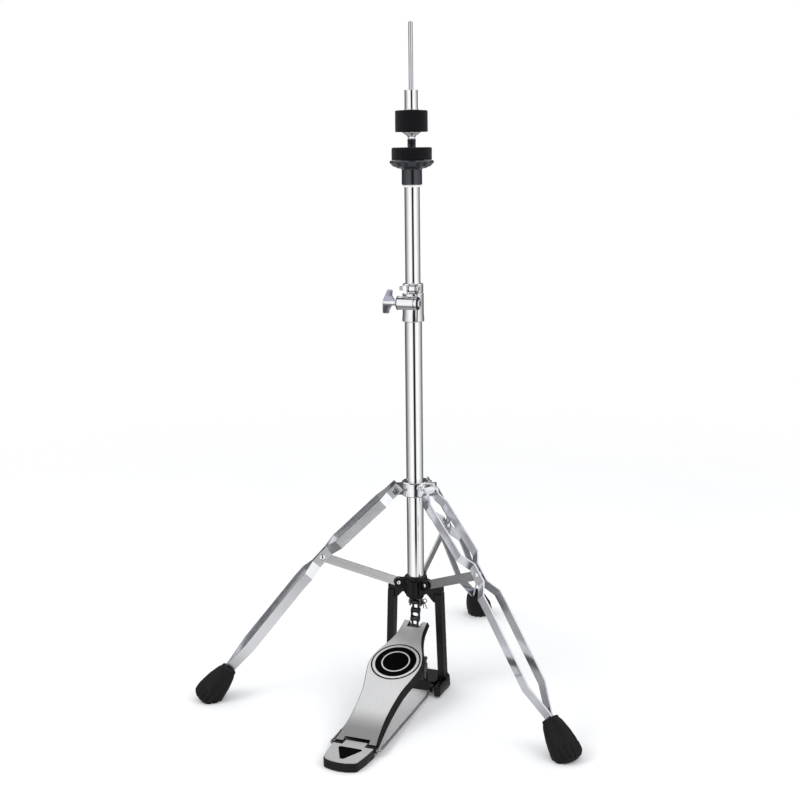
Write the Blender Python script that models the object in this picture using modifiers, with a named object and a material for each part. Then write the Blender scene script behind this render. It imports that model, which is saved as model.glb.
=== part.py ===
"""Hi-hat stand: double-braced tripod, telescoping tower, pull rod and chain-driven footboard.

Frame: +Z up, floor at z = 0, the tower's axis is Z, the footboard and heel lie toward -Y.
"""

import math

import bmesh
import bpy
from mathutils import Matrix, Vector

# ---------------------------------------------------------------- driving dimensions (metres)
GAP = 0.0003

# Tower
LOWER_TUBE_R, LOWER_TUBE_BORE_R = 0.0127, 0.0115
UPPER_TUBE_R, UPPER_TUBE_BORE_R = 0.0111, 0.0099
LOWER_TUBE_Z = (0.1500, 0.5900)
UPPER_TUBE_Z = (0.4000, 0.7800)
CLAMP_Z = (0.5660, 0.6080)
CLAMP_R = 0.0155
CLAMP_STEP_Z, CLAMP_SEAT_R = 0.5903, 0.0138
CLAMP_BARREL_Y, CLAMP_BARREL_Z, CLAMP_BARREL_R = -0.0190, 0.5945, 0.0098
CLAMP_BARREL_X = (-0.0152, 0.0147)
CLAMP_EAR, CLAMP_SLIT = 0.0036, 0.0014
WING_HUB_LENGTH = 0.0245
MEMORY_Z = (0.6083, 0.6215)
MEMORY_R = 0.0150
MEMORY_BOLT_Y, MEMORY_BOLT_Z = -0.0185, 0.6160
MEMORY_BOSS_X, MEMORY_BOSS_R = (0.0008, 0.0140), 0.0066
SEAT_SLEEVE_Z = (0.7630, 0.7858)
SEAT_RIM_Z = 0.7972
SEAT_FELT_Z = (0.7975, 0.8155)
SEAT_FELT_R = 0.0290
SEAT_STEM_Z = 0.8272
SEAT_STEM_R = 0.0062
ROD_R = 0.0032
ROD_BORE_R = 0.0036
ROD_TOP_Z = 0.9880
CLUTCH_NUT_Z = (0.8275, 0.8365)
CLUTCH_FELT_Z = (0.8368, 0.8518, 0.8668)
CLUTCH_FELT_R = 0.0233
CLUTCH_TOP_Z = 0.8950
CLUTCH_R = 0.0095

# Pull rod, spring and chain
LOWER_ROD_R = 0.0040
LOWER_ROD_Z = (0.1480, 0.5500)
ROD_FLANGE_Z, ROD_FLANGE_R = 0.2850, 0.0106
SPRING_R, SPRING_WIRE_R, SPRING_TURNS = 0.0088, 0.0010, 7
ADJUSTER_Z = (0.1407, 0.1700)
CHAIN_PITCH = 0.0127
CHAIN_LINKS = 3
CLEVIS_PIN_Z = 0.1330
TOE_PIN_Y = -0.0064

# Frame
HEAD_Z = (0.1475, 0.1765)
HEAD_R = 0.0175
UPRIGHT_X = (0.0380, 0.0425)
UPRIGHT_WIDTH, UPRIGHT_DEPTH = 0.0105, 0.0160
BASE_PLATE_Z = (0.0, 0.0160)
BASE_PLATE_Y = (-0.0200, 0.0260)
SPUR_X, SPUR_Y, SPUR_TOP_Z = 0.0200, -0.0140, 0.0525

# Pedal
HINGE_Y, HINGE_Z = -0.2425, 0.0085
BOARD_SLOPE = math.radians(20.3)
BOARD_LENGTH = 0.2586
BOARD_TOP_RISE = 0.0045
BOARD_THICKNESS = 0.0025
BOARD_FLARE = 0.0018
BOARD_HALF_WIDTHS = (
    (0.0000, 0.0190), (0.0270, 0.0203), (0.0500, 0.0262), (0.0760, 0.0370),
    (0.0970, 0.0408), (0.1180, 0.0376), (0.1480, 0.0303), (0.1740, 0.0275),
    (0.2080, 0.0265), (0.2370, 0.0288), (0.2550, 0.0312),
)
BOARD_SKIRT = ((0.0, 0.0060), (0.08, 0.0105), (0.21, 0.0115), (0.255, 0.0045))
PLATE_THICKNESS, PLATE_INSET = 0.0012, 0.0011
CHAIN_NOTCH = (0.0105, 0.0150)
HEEL_NOTCH = (0.0190, 0.0117)
HEEL_TOP_Z = 0.0118
HEEL_TONGUE = (0.0178, 0.0092)
HEEL_FRONT_Y = -0.3030
KNUCKLE_R = 0.0040
WIRE_R, WIRE_BORE_R, WIRE_ARM_X, WIRE_ARM_Z = 0.00175, 0.0021, 0.0372, 0.0085
WIRE_END_Y = -0.0290

# Tripod
LEG_ANGLES = {"left": 210, "right": 330, "back": 90}
COLLAR_Z = (0.3030, 0.3250)
COLLAR_R = 0.0200
LEG_PIVOT = (0.0310, 0.3140)
LEG_PATH = ((0.0250, 0.3193), (0.1320, 0.2245), (0.1760, 0.1783), (0.2985, 0.0330))
LEG_RIVET = (0.1420, 0.2140)
STRIP_WIDTH, STRIP_THICKNESS = 0.0150, 0.0024
STRIP_WIDE, STRIP_AT_COLLAR, STRIP_AT_STAY, STRIP_AT_FOOT = 0.0160, 0.0095, 0.0031, 0.0016
STAY_PIN = (0.0270, 0.1675)
STAY_WIDTH, STAY_THICKNESS = 0.0135, 0.0030
EAR_R, EAR_CHEEK = 0.0072, 0.0036
FOOT_MOUTH = (0.2865, 0.0472)
FOOT_POCKET_DEPTH = 0.0200
PIN_R, PIN_BORE_R = 0.0029, 0.0032

# ---------------------------------------------------------------- scene and helpers


def clear_scene():
    for obj in list(bpy.data.objects):
        bpy.data.objects.remove(obj, do_unlink=True)


def new_collection(name):
    group = bpy.data.collections.new(name)
    bpy.context.scene.collection.children.link(group)
    return group


clear_scene()
PARTS = new_collection("hi_hat_stand")
CUTTERS = new_collection("cutters")
CUTTERS.hide_render = True


def new_material(name, colour, roughness, metallic):
    finish = bpy.data.materials.new(name)
    finish.use_nodes = True
    shader = finish.node_tree.nodes["Principled BSDF"]
    shader.inputs["Base Color"].default_value = (*colour, 1)
    shader.inputs["Roughness"].default_value = roughness
    shader.inputs["Metallic"].default_value = metallic
    return finish


FINISHES = {
    "chrome": ((0.80, 0.81, 0.83), 0.08, 1.0),
    "brushed_steel": ((0.66, 0.66, 0.68), 0.34, 1.0),
    "zinc_steel": ((0.42, 0.42, 0.43), 0.40, 1.0),
    "black_casting": ((0.018, 0.018, 0.020), 0.42, 0.0),
    "black_plastic": ((0.020, 0.023, 0.028), 0.28, 0.0),
    "black_felt": ((0.012, 0.012, 0.013), 0.95, 0.0),
    "rubber": ((0.020, 0.020, 0.022), 0.80, 0.0),
    "nylon": ((0.80, 0.80, 0.78), 0.45, 0.0),
}


def finish_part(obj, finish, parent=None):
    """Names the object's own material, files it with the parts and shades it smooth."""
    obj.data.materials.clear()
    obj.data.materials.append(new_material(obj.name + "_finish", *FINISHES[finish]))
    if parent:
        obj.parent = parent
    if obj.type == "MESH":
        obj.data.shade_smooth()
        obj.data.set_sharp_from_angle(angle=math.radians(35))
    return obj


def add_object(name, data, group=PARTS):
    obj = bpy.data.objects.new(name, data)
    group.objects.link(obj)
    if group is CUTTERS:
        obj.hide_render = True
        obj.display_type = "WIRE"
    return obj


def add_empty(name, location, turn=0.0):
    empty = bpy.data.objects.new(name, None)
    PARTS.objects.link(empty)
    empty.location = location
    empty.rotation_euler = (0, 0, turn)
    return empty


def mesh_object(name, mesh, group=PARTS):
    data = bpy.data.meshes.new(name)
    bmesh.ops.recalc_face_normals(mesh, faces=mesh.faces)
    mesh.to_mesh(data)
    mesh.free()
    return add_object(name, data, group)


def turned(name, profile, ring=False, steps=32, group=PARTS):
    """A profile of (radius, z) turned about Z. It runs down its outer side; a ring closes on itself."""
    count = len(profile)
    edges = [(i, (i + 1) % count) for i in range(count if ring else count - 1)]
    data = bpy.data.meshes.new(name)
    data.from_pydata([(r, 0, z) for r, z in profile], edges, [])
    obj = add_object(name, data, group)
    screw = obj.modifiers.new("Turn", "SCREW")
    screw.axis = "Z"
    screw.steps = screw.render_steps = steps
    screw.use_merge_vertices = True
    screw.merge_threshold = 0.00002
    screw.use_smooth_shade = True
    return obj


def tube(name, outer, inner, low, high, steps=32, group=PARTS):
    return turned(name, [(outer, high), (outer, low), (inner, low), (inner, high)], True, steps, group)


def axis_matrix(axis):
    """Turns +Z onto the axis."""
    return Vector((0, 0, 1)).rotation_difference(Vector(axis)).to_matrix().to_4x4()


def cylinder(name, start, end, radius, steps=24, group=PARTS, end_radius=None):
    start, end = Vector(start), Vector(end)
    mesh = bmesh.new()
    bmesh.ops.create_cone(
        mesh, cap_ends=True, segments=steps, radius1=radius,
        radius2=radius if end_radius is None else end_radius, depth=(end - start).length,
    )
    move = Matrix.Translation((start + end) / 2) @ axis_matrix(end - start)
    bmesh.ops.transform(mesh, matrix=move, verts=mesh.verts)
    return mesh_object(name, mesh, group)


def box(name, low, high, group=PARTS, bevel=0.0):
    low, high = Vector(low), Vector(high)
    mesh = bmesh.new()
    bmesh.ops.create_cube(mesh, size=1)
    size = Matrix.Diagonal((*(high - low), 1))
    bmesh.ops.transform(mesh, matrix=Matrix.Translation((low + high) / 2) @ size, verts=mesh.verts)
    obj = mesh_object(name, mesh, group)
    if bevel:
        add_bevel(obj, bevel)
    return obj


def add_bevel(obj, width, segments=2, angle=40):
    rounding = obj.modifiers.new("Bevel", "BEVEL")
    rounding.width = width
    rounding.segments = segments
    rounding.limit_method = "ANGLE"
    rounding.angle_limit = math.radians(angle)


def flat(name, outline, thickness, matrix=None, group=PARTS):
    """A flat outline in XY, extruded by its thickness about its own plane, then placed."""
    curve = bpy.data.curves.new(name, "CURVE")
    curve.dimensions = "2D"
    curve.fill_mode = "BOTH"
    curve.extrude = thickness / 2
    spline = curve.splines.new("POLY")
    spline.points.add(len(outline) - 1)
    for point, (x, y) in zip(spline.points, outline):
        point.co = (x, y, 0, 1)
    spline.use_cyclic_u = True
    return curve_to_mesh(name, curve, matrix, group)


def curve_to_mesh(name, curve, matrix=None, group=PARTS):
    source = bpy.data.objects.new(name + "_curve", curve)
    bpy.context.scene.collection.objects.link(source)
    graph = bpy.context.evaluated_depsgraph_get()
    data = bpy.data.meshes.new_from_object(source.evaluated_get(graph))
    bpy.data.objects.remove(source)
    mesh = bmesh.new()
    mesh.from_mesh(data)
    bmesh.ops.remove_doubles(mesh, verts=mesh.verts, dist=0.00001)
    if matrix is not None:
        bmesh.ops.transform(mesh, matrix=matrix, verts=mesh.verts)
    bpy.data.meshes.remove(data)
    return mesh_object(name, mesh, group)


def lug(name, root, end, radius, y0, y1, matrix):
    """A round-ended lug in the XZ plane from root to end, (x, z) each, between two values of y."""
    reach = Vector(end) - Vector(root)
    lift = math.atan2(reach.y, reach.x)
    outline = [(0, -radius)]
    for k in range(9):
        a = math.radians(-90 + 22.5 * k)
        outline.append((reach.length + radius * math.cos(a), radius * math.sin(a)))
    outline.append((0, radius))
    place = Matrix.Translation((root[0], (y0 + y1) / 2, root[1])) @ Matrix.Rotation(-lift, 4, "Y")
    upright = Matrix.Rotation(math.radians(90), 4, "X")
    return flat(name, outline, y1 - y0, matrix @ place @ upright, CUTTERS)


def boolean(obj, other, operation="DIFFERENCE"):
    cut = obj.modifiers.new(operation.title(), "BOOLEAN")
    cut.operation = operation
    cut.object = other
    cut.solver = "EXACT"
    return obj


def cut_by(obj, *others):
    for other in others:
        boolean(obj, other)
        if obj.parent and not other.parent:
            other.parent = obj.parent
    return obj


def joined(obj, *others):
    for other in others:
        boolean(obj, other, "UNION")
    return obj


def rounded_outline(corners, steps=5):
    """Corners of (x, y, radius): each corner with a radius becomes an arc."""
    points = []
    count = len(corners)
    for i, (x, y, radius) in enumerate(corners):
        here = Vector((x, y))
        back = (Vector(corners[i - 1][:2]) - here).normalized()
        ahead = (Vector(corners[(i + 1) % count][:2]) - here).normalized()
        half = back.angle(ahead) / 2
        if radius == 0 or half > math.radians(89):
            points.append((x, y))
            continue
        centre = here + (back + ahead).normalized() * (radius / math.sin(half))
        first = here + back * (radius / math.tan(half)) - centre
        last = here + ahead * (radius / math.tan(half)) - centre
        sweep = first.angle_signed(last)
        for k in range(steps + 1):
            turn = Matrix.Rotation(-sweep * k / steps, 2)
            points.append(tuple(centre + turn @ first))
    return points


def smooth_value(table, at):
    """A smooth curve through the table's (place, value) pairs."""
    table = list(table)
    if at <= table[0][0]:
        return table[0][1]
    for i in range(len(table) - 1):
        (x0, y0), (x1, y1) = table[i], table[i + 1]
        if at <= x1:
            xa, ya = table[max(i - 1, 0)]
            xb, yb = table[min(i + 2, len(table) - 1)]
            slope0 = (y1 - ya) / (x1 - xa)
            slope1 = (yb - y0) / (xb - x0)
            t, h = (at - x0) / (x1 - x0), x1 - x0
            return (
                y0 * (2 * t**3 - 3 * t**2 + 1) + h * slope0 * (t**3 - 2 * t**2 + t)
                + y1 * (3 * t**2 - 2 * t**3) + h * slope1 * (t**3 - t**2)
            )
    return table[-1][1]


# ---------------------------------------------------------------- tower


def make_tower():
    finish_part(tube("lower_tube", LOWER_TUBE_R, LOWER_TUBE_BORE_R, *LOWER_TUBE_Z, 40), "chrome")
    make_clamp()
    height = add_empty("height_slide_axis", (0, 0, UPPER_TUBE_Z[0]))
    make_upper_tube(height)
    make_seat(height)
    make_memory_lock()
    make_clutch()


def make_clamp():
    low, high = CLAMP_Z
    body = turned(
        "clamp_body",
        [
            (CLAMP_R - 0.001, high), (CLAMP_R, high - 0.001), (CLAMP_R, low + 0.012),
            (CLAMP_R + 0.0008, low + 0.001), (CLAMP_R - 0.0002, low),
            (LOWER_TUBE_R + GAP, low), (LOWER_TUBE_R + GAP, CLAMP_STEP_Z),
            (CLAMP_SEAT_R, CLAMP_STEP_Z), (CLAMP_SEAT_R, high),
        ],
        True, 40,
    )
    x0, x1 = CLAMP_BARREL_X
    y, z, r = CLAMP_BARREL_Y, CLAMP_BARREL_Z, CLAMP_BARREL_R
    barrel = cylinder("clamp_barrel", (x0, y, z), (x1, y, z), r, 28, CUTTERS)
    bore = cylinder("clamp_bore", (0, 0, low - 0.01), (0, 0, CLAMP_STEP_Z), LOWER_TUBE_R + GAP, 40, CUTTERS)
    seat = cylinder("clamp_seat", (0, 0, CLAMP_STEP_Z - 0.0013), (0, 0, high + 0.01), CLAMP_SEAT_R, 40, CUTTERS)
    hole = cylinder("clamp_hole", (x0 - 0.01, y, z), (x1 + 0.01, y, z), 0.0032, 16, CUTTERS)
    slit_x = x1 - CLAMP_EAR
    slit = box("clamp_slit", (slit_x - CLAMP_SLIT, -0.04, low - 0.01), (slit_x, -0.0045, high + 0.01), CUTTERS)
    joined(body, barrel)
    cut_by(body, bore, seat, hole, slit)
    finish_part(body, "chrome")

    bushing = tube("clamp_bushing", CLAMP_SEAT_R - GAP, UPPER_TUBE_R + GAP, CLAMP_STEP_Z + GAP, high - 0.0006, 32)
    finish_part(bushing, "nylon")

    spin = add_empty("wing_screw_axis", (0, y, z))
    tip = x0 - WING_HUB_LENGTH
    shank = cylinder("clamp_wing_screw", (tip - 0.0005, 0, 0), (x1 - 0.002, 0, 0), 0.0029, 16)
    hub = cylinder("wing_hub", (tip, 0, 0), (x0 - GAP, 0, 0), 0.0042, 20, CUTTERS)
    wing = rounded_outline([
        (-0.0392, 0.0040, 0.001), (-0.0300, 0.0200, 0.0020), (-0.0222, 0.0196, 0.0018),
        (-0.0245, 0.0105, 0.0040), (-0.0205, 0.0020, 0.001), (-0.0250, -0.0020, 0.001),
        (-0.0318, -0.0118, 0.0030), (-0.0335, -0.0168, 0.0015), (-0.0428, -0.0165, 0.0015),
        (-0.0400, -0.0040, 0.001),
    ], 3)
    blade = flat("wing_blade", wing, 0.0036, Matrix.Rotation(math.radians(90), 4, "X"), CUTTERS)
    joined(shank, hub, blade)
    shank.parent = hub.parent = blade.parent = spin
    finish_part(shank, "chrome", spin)


def make_upper_tube(height):
    z = UPPER_TUBE_Z[0]
    inner_end = UPPER_TUBE_Z[1] - z
    finish_part(tube("upper_tube", UPPER_TUBE_R, UPPER_TUBE_BORE_R, 0, inner_end, 40), "chrome", height)
    low = SEAT_SLEEVE_Z[0] - 0.0032 - z
    ring = tube("tube_top_ring", 0.0130, UPPER_TUBE_R + GAP, low, low + 0.0029, 32)
    finish_part(ring, "nylon", height)


def make_seat(height):
    z = UPPER_TUBE_Z[0]
    bottom, neck, rim = SEAT_SLEEVE_Z[0] - z, SEAT_SLEEVE_Z[1] - z, SEAT_RIM_Z - z
    stem, bore_top = SEAT_STEM_Z - z, UPPER_TUBE_Z[1] + GAP - z
    cup = turned(
        "seat_cup",
        [
            (SEAT_STEM_R, stem), (SEAT_STEM_R, rim), (0.0306, rim), (0.0321, rim - 0.0024),
            (0.0296, rim - 0.0052), (0.0264, rim - 0.0084), (0.0236, rim - 0.0092),
            (0.0200, rim - 0.0110), (0.0152, neck - 0.0002), (0.0147, neck - 0.0014),
            (0.0148, bottom + 0.0008), (0.0143, bottom), (UPPER_TUBE_R + GAP, bottom),
            (UPPER_TUBE_R + GAP, bore_top), (ROD_BORE_R, bore_top), (ROD_BORE_R, stem),
        ],
        True, 36,
    )
    finish_part(cup, "black_plastic", height)
    low, high = SEAT_FELT_Z[0] - z, SEAT_FELT_Z[1] - z
    r, inner = SEAT_FELT_R, SEAT_STEM_R + GAP
    felt = turned(
        "seat_felt",
        [(r - 0.0012, high), (r, high - 0.0012), (r, low), (inner, low), (inner, high)], True, 36,
    )
    finish_part(felt, "black_felt", height)


def make_memory_lock():
    z, y = MEMORY_BOLT_Z, MEMORY_BOLT_Y
    axis = add_empty("memory_lock_axis", (0, 0, MEMORY_Z[0]))
    low, high = 0, MEMORY_Z[1] - MEMORY_Z[0]
    inner = UPPER_TUBE_R + GAP
    ring = turned(
        "memory_lock",
        [
            (MEMORY_R - 0.001, high), (MEMORY_R, high - 0.001), (MEMORY_R, low + 0.001),
            (MEMORY_R - 0.001, low), (inner, low), (inner, high),
        ],
        True, 32,
    )
    level = z - MEMORY_Z[0]
    lug = box("memory_lug", (-0.0068, y - 0.0055, 0.0010), (0.0030, -0.0120, high - 0.0010), CUTTERS)
    boss = cylinder("memory_boss", (MEMORY_BOSS_X[0], y, level - 0.0006), (MEMORY_BOSS_X[1], y, level - 0.0006),
                    MEMORY_BOSS_R, 20, CUTTERS)
    hole = cylinder("memory_hole", (-0.03, y, level), (0.03, y, level), 0.0024, 12, CUTTERS)
    slit = box("memory_slit", (-0.0007, -0.04, -0.01), (0.0007, -0.0105, 0.03), CUTTERS)
    for other in (lug, boss, hole, slit):
        other.parent = axis
    joined(ring, lug, boss)
    cut_by(ring, hole, slit)
    finish_part(ring, "chrome", axis)

    spin = add_empty("memory_bolt_axis", (0, y, z))
    shank = cylinder("memory_key_bolt", (-0.0120, 0, 0), (0.0060, 0, 0), 0.0021, 12)
    flange = cylinder("memory_flange", (-0.0082, 0, 0), (-0.0068 - GAP, 0, 0), 0.0044, 16, CUTTERS)
    square = box("memory_square", (-0.0130, -0.0029, -0.0029), (-0.0078, 0.0029, 0.0029), CUTTERS)
    joined(shank, flange, square)
    flange.parent = square.parent = spin
    finish_part(shank, "chrome", spin)


def make_clutch():
    nut_low, nut_high = CLUTCH_NUT_Z
    felt_low, felt_mid, felt_high = CLUTCH_FELT_Z
    axis = add_empty("clutch_axis", (0, 0, nut_high))
    z = nut_high
    inner, thread = ROD_R + GAP, 0.0056
    body = turned(
        "clutch_tube",
        [
            (CLUTCH_R - 0.0008, CLUTCH_TOP_Z - z), (CLUTCH_R, CLUTCH_TOP_Z - 0.0008 - z),
            (CLUTCH_R, felt_high + 0.0016 - z), (0.0106, felt_high + 0.0016 - z),
            (0.0106, felt_high + GAP - z), (thread, felt_high + GAP - z), (thread, 0.0004),
            (inner, 0.0004), (inner, CLUTCH_TOP_Z - z),
        ],
        True, 32,
    )
    screw_z, angle = 0.8830, math.radians(110)
    out = Vector((math.cos(angle), math.sin(angle), 0))
    level = Vector((0, 0, screw_z - z))
    hole = cylinder("clutch_hole", level, level + out * 0.02, 0.0023, 12, CUTTERS)
    hole.parent = axis
    cut_by(body, hole)
    finish_part(body, "chrome", axis)

    for name, low, high in (
        ("clutch_lower_felt", felt_low, felt_mid - 0.0001), ("clutch_upper_felt", felt_mid + 0.0002, felt_high),
    ):
        r, bore = CLUTCH_FELT_R, thread + GAP
        profile = [(r, high - z), (r, low - z), (bore, low - z), (bore, high - z)]
        finish_part(turned(name, profile, True, 32), "black_felt", axis)

    nut_axis = add_empty("clutch_nut_axis", (0, 0, nut_low))
    top = nut_high - nut_low
    nut = turned(
        "clutch_nut",
        [
            (0.0128, top), (0.0128, top - 0.0011), (0.0092, top - 0.0030), (0.0060, top - 0.0055),
            (0.0052, 0), (ROD_BORE_R, 0), (ROD_BORE_R, top),
        ],
        True, 28,
    )
    finish_part(nut, "chrome", nut_axis)

    spin = add_empty("clutch_screw_axis", (0, 0, screw_z))
    start = inner + 0.0004
    shank = cylinder("clutch_lock_screw", out * start, out * 0.0200, 0.0020, 12)
    head = cylinder("clutch_screw_head", out * (CLUTCH_R + GAP), out * 0.0130, 0.0042, 16, CUTTERS)
    square = box("clutch_screw_square", (0.0110, -0.0025, -0.0025), (0.0200, 0.0025, 0.0025), CUTTERS)
    square.rotation_euler = (0, 0, angle)
    head.parent = square.parent = spin
    joined(shank, head, square)
    finish_part(shank, "chrome", spin)


# ---------------------------------------------------------------- pull rod, spring and chain


def make_pull_rod():
    axis = add_empty("pull_rod_axis", (0, 0, CLEVIS_PIN_Z))
    z = CLEVIS_PIN_Z
    low, high = LOWER_ROD_Z[0] - z, LOWER_ROD_Z[1] - z
    flange = ROD_FLANGE_Z - z
    rod = turned(
        "lower_pull_rod",
        [
            (ROD_R + GAP, high), (0.0056, high), (0.0056, high - 0.030), (LOWER_ROD_R, high - 0.032),
            (LOWER_ROD_R, flange + 0.003), (ROD_FLANGE_R, flange + 0.003), (ROD_FLANGE_R, flange),
            (LOWER_ROD_R, flange), (LOWER_ROD_R, low), (0, low), (0, high - 0.024),
            (ROD_R + GAP, high - 0.024),
        ],
        True, 20,
    )
    finish_part(rod, "zinc_steel", axis)
    top = ROD_TOP_Z - z
    upper = turned(
        "upper_pull_rod",
        [(0, top), (ROD_R - 0.0008, top), (ROD_R, top - 0.0008), (ROD_R, high - 0.0235), (0, high - 0.0235)],
        False, 20,
    )
    finish_part(upper, "chrome", axis)

    clevis = box("rod_clevis", (-0.0092, -0.0050, -0.0050), (0.0092, 0.0050, 0.0073))
    neck = cylinder("clevis_neck", (0, 0, 0.0065), (0, 0, low - GAP), 0.0062, 20, CUTTERS)
    slot = box("clevis_slot", (-0.0076, -0.01, -0.02), (0.0076, 0.01, 0.0056), CUTTERS)
    hole = cylinder("clevis_hole", (-0.02, 0, 0), (0.02, 0, 0), 0.0021, 14, CUTTERS)
    neck.parent = slot.parent = hole.parent = axis
    joined(clevis, neck)
    cut_by(clevis, slot, hole)
    finish_part(clevis, "zinc_steel", axis)

    pin = cylinder("clevis_pin", (-0.0112, 0, 0), (0.0135, 0, 0), 0.0018, 14)
    head = cylinder("clevis_pin_head", (-0.0114, 0, 0), (-0.0092 - GAP, 0, 0), 0.0034, 14, CUTTERS)
    head.parent = axis
    joined(pin, head)
    finish_part(pin, "zinc_steel", axis)


def make_spring():
    low, high = ADJUSTER_Z[1] + GAP + SPRING_WIRE_R, ROD_FLANGE_Z - GAP - SPRING_WIRE_R
    steps = SPRING_TURNS * 10
    curve = bpy.data.curves.new("return_spring", "CURVE")
    curve.dimensions = "3D"
    curve.bevel_depth = SPRING_WIRE_R
    curve.bevel_resolution = 1
    curve.use_fill_caps = True
    spline = curve.splines.new("POLY")
    spline.points.add(steps)
    for i, point in enumerate(spline.points):
        turn = 2 * math.pi * SPRING_TURNS * i / steps
        height = low + (high - low) * i / steps
        point.co = (SPRING_R * math.cos(turn), SPRING_R * math.sin(turn), height, 1)
    finish_part(curve_to_mesh("return_spring", curve), "zinc_steel")


def make_adjuster():
    low, high = ADJUSTER_Z
    axis = add_empty("adjuster_axis", (0, 0, low))
    top, bore = high - low, 0.0066
    nut = turned(
        "spring_adjuster",
        [
            (0.0108, top), (0.0108, 0.0062), (0.0112, 0.0062), (0.0120, 0.0054), (0.0120, 0.0010),
            (0.0110, 0), (bore, 0), (bore, top),
        ],
        True, 24,
    )
    finish_part(nut, "black_casting", axis)


def figure_eight(pitch, end_r, waist_r, steps=6):
    """A chain side plate's outline along -Y: two round ends and a narrower waist."""
    points = []
    for centre, start in ((0.0, -30), (-pitch, 150)):
        for k in range(steps + 1):
            a = math.radians(start + 240 * k / steps)
            points.append((end_r * math.cos(a), centre + end_r * math.sin(a)))
        side = -1 if centre == 0.0 else 1
        points.append((side * waist_r, -pitch / 2))
    return points


def make_chain():
    """Roller chain from the clevis pin to the toe pin, hung straight between them."""
    axis = add_empty("chain_axis", (0, 0, CLEVIS_PIN_Z))
    lean = math.asin(-TOE_PIN_Y / (CHAIN_PITCH * CHAIN_LINKS))
    tilt = Matrix.Rotation(-lean, 4, "X")
    upright = Matrix.Rotation(math.radians(90), 4, "Y") @ Matrix.Rotation(math.radians(90), 4, "Z")
    plate_t, inner_x, outer_x = 0.0014, 0.0042, 0.0059
    end_r, waist_r = 0.0052, 0.0036
    pieces = []
    for k in range(CHAIN_LINKS):
        at = inner_x if k % 2 == 0 else outer_x
        for side in (-1, 1):
            move = tilt @ Matrix.Translation((side * at, 0, -k * CHAIN_PITCH)) @ upright
            outline = figure_eight(CHAIN_PITCH, end_r, waist_r)
            pieces.append(flat("chain_plate_%d_%d" % (k, side), outline, plate_t, move, CUTTERS))
    for k in range(CHAIN_LINKS + 1):
        centre = tilt @ Vector((0, 0, -k * CHAIN_PITCH))
        half = Vector((outer_x if 0 < k < CHAIN_LINKS else inner_x, 0, 0))
        pieces.append(cylinder("chain_roller_%d" % k, centre - half, centre + half, 0.0039, 16, CUTTERS))
    for piece in pieces:
        piece.parent = axis
    chain = cylinder("chain", tilt @ Vector((-0.0067, 0, -CHAIN_PITCH)),
                     tilt @ Vector((0.0067, 0, -CHAIN_PITCH)), 0.0019, 12)
    joined(chain, *pieces)
    chain.parent = axis
    for k, bore in ((0, 0.0021), (CHAIN_LINKS, 0.0027)):
        centre = tilt @ Vector((0, 0, -k * CHAIN_PITCH))
        cut_by(chain, cylinder("chain_bore_%d" % k, centre - Vector((0.02, 0, 0)),
                               centre + Vector((0.02, 0, 0)), bore, 14, CUTTERS))
    finish_part(chain, "zinc_steel", axis)


# ---------------------------------------------------------------- frame


def make_frame():
    make_frame_head()
    for side, name in ((-1, "left"), (1, "right")):
        make_upright(side, name)
        make_spur(side, name)
    make_base_plate()


def leg_frame(angle):
    """The matrix from a leg's own frame, x radial and y along its hinge pins, to the stand's."""
    return Matrix.Rotation(math.radians(angle), 4, "Z")


def make_frame_head():
    low, high = HEAD_Z
    head = turned(
        "frame_head",
        [
            (0, high), (HEAD_R - 0.002, high), (HEAD_R, high - 0.002), (HEAD_R, low + 0.001),
            (HEAD_R - 0.001, low), (0, low),
        ],
        False, 32,
    )
    end_x = UPRIGHT_X[0] + UPRIGHT_WIDTH / 2
    arm = end_x - UPRIGHT_WIDTH - GAP
    bridge = [
        (-end_x, 0.1600, 0.002), (-0.0300, 0.1668, 0.004), (-0.0150, 0.1715, 0.0), (0.0150, 0.1715, 0.0),
        (0.0300, 0.1668, 0.004), (end_x, 0.1600, 0.002), (end_x, 0.1520, 0.0), (arm, 0.1524, 0.0),
        (arm, 0.1360, 0.001), (0.0200, 0.1500, 0.004), (-0.0200, 0.1500, 0.004), (-arm, 0.1360, 0.001),
        (-arm, 0.1524, 0.0), (-end_x, 0.1520, 0.0),
    ]
    upright = Matrix.Rotation(math.radians(90), 4, "X")
    web = flat("head_bridge", rounded_outline(bridge, 3), 0.0150, upright, CUTTERS)
    boss = cylinder("head_boss", (0, -0.0135, low + 0.0005), (0, -0.0135, high - 0.005), 0.0105, 24, CUTTERS)
    joined(head, web, boss)
    for name, angle in LEG_ANGLES.items():
        turn = leg_frame(angle)
        r, z = STAY_PIN
        wide = STAY_THICKNESS / 2 + GAP + EAR_CHEEK
        joined(head, lug("%s_ear" % name, (0.0130, z - 0.0035), (r, z), EAR_R, -wide, wide, turn))
    bore = cylinder("head_bore", (0, 0, LOWER_TUBE_Z[0] - GAP), (0, 0, high + 0.01),
                    LOWER_TUBE_R + GAP, 40, CUTTERS)
    throat = cylinder("head_throat", (0, 0, low - 0.01), (0, 0, high), 0.0108 + GAP, 32, CUTTERS)
    cut_by(head, bore, throat)
    for name, angle in LEG_ANGLES.items():
        turn = leg_frame(angle)
        r, z = STAY_PIN
        half = STAY_THICKNESS / 2 + GAP
        slot = box("%s_slot" % name, (r - 0.0082, -half, z - 0.03), (r + 0.03, half, z + 0.03), CUTTERS)
        slot.matrix_world = turn
        hole = cylinder("%s_pin_hole" % name, turn @ Vector((r, -0.0066, z)),
                        turn @ Vector((r, 0.0066, z)), PIN_BORE_R, 16, CUTTERS)
        cut_by(head, slot, hole)
        pin = cylinder("%s_stay_pin" % name, turn @ Vector((r, -0.0056, z)),
                       turn @ Vector((r, 0.0056, z)), PIN_R, 16)
        finish_part(pin, "chrome")
    finish_part(head, "black_casting")


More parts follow.
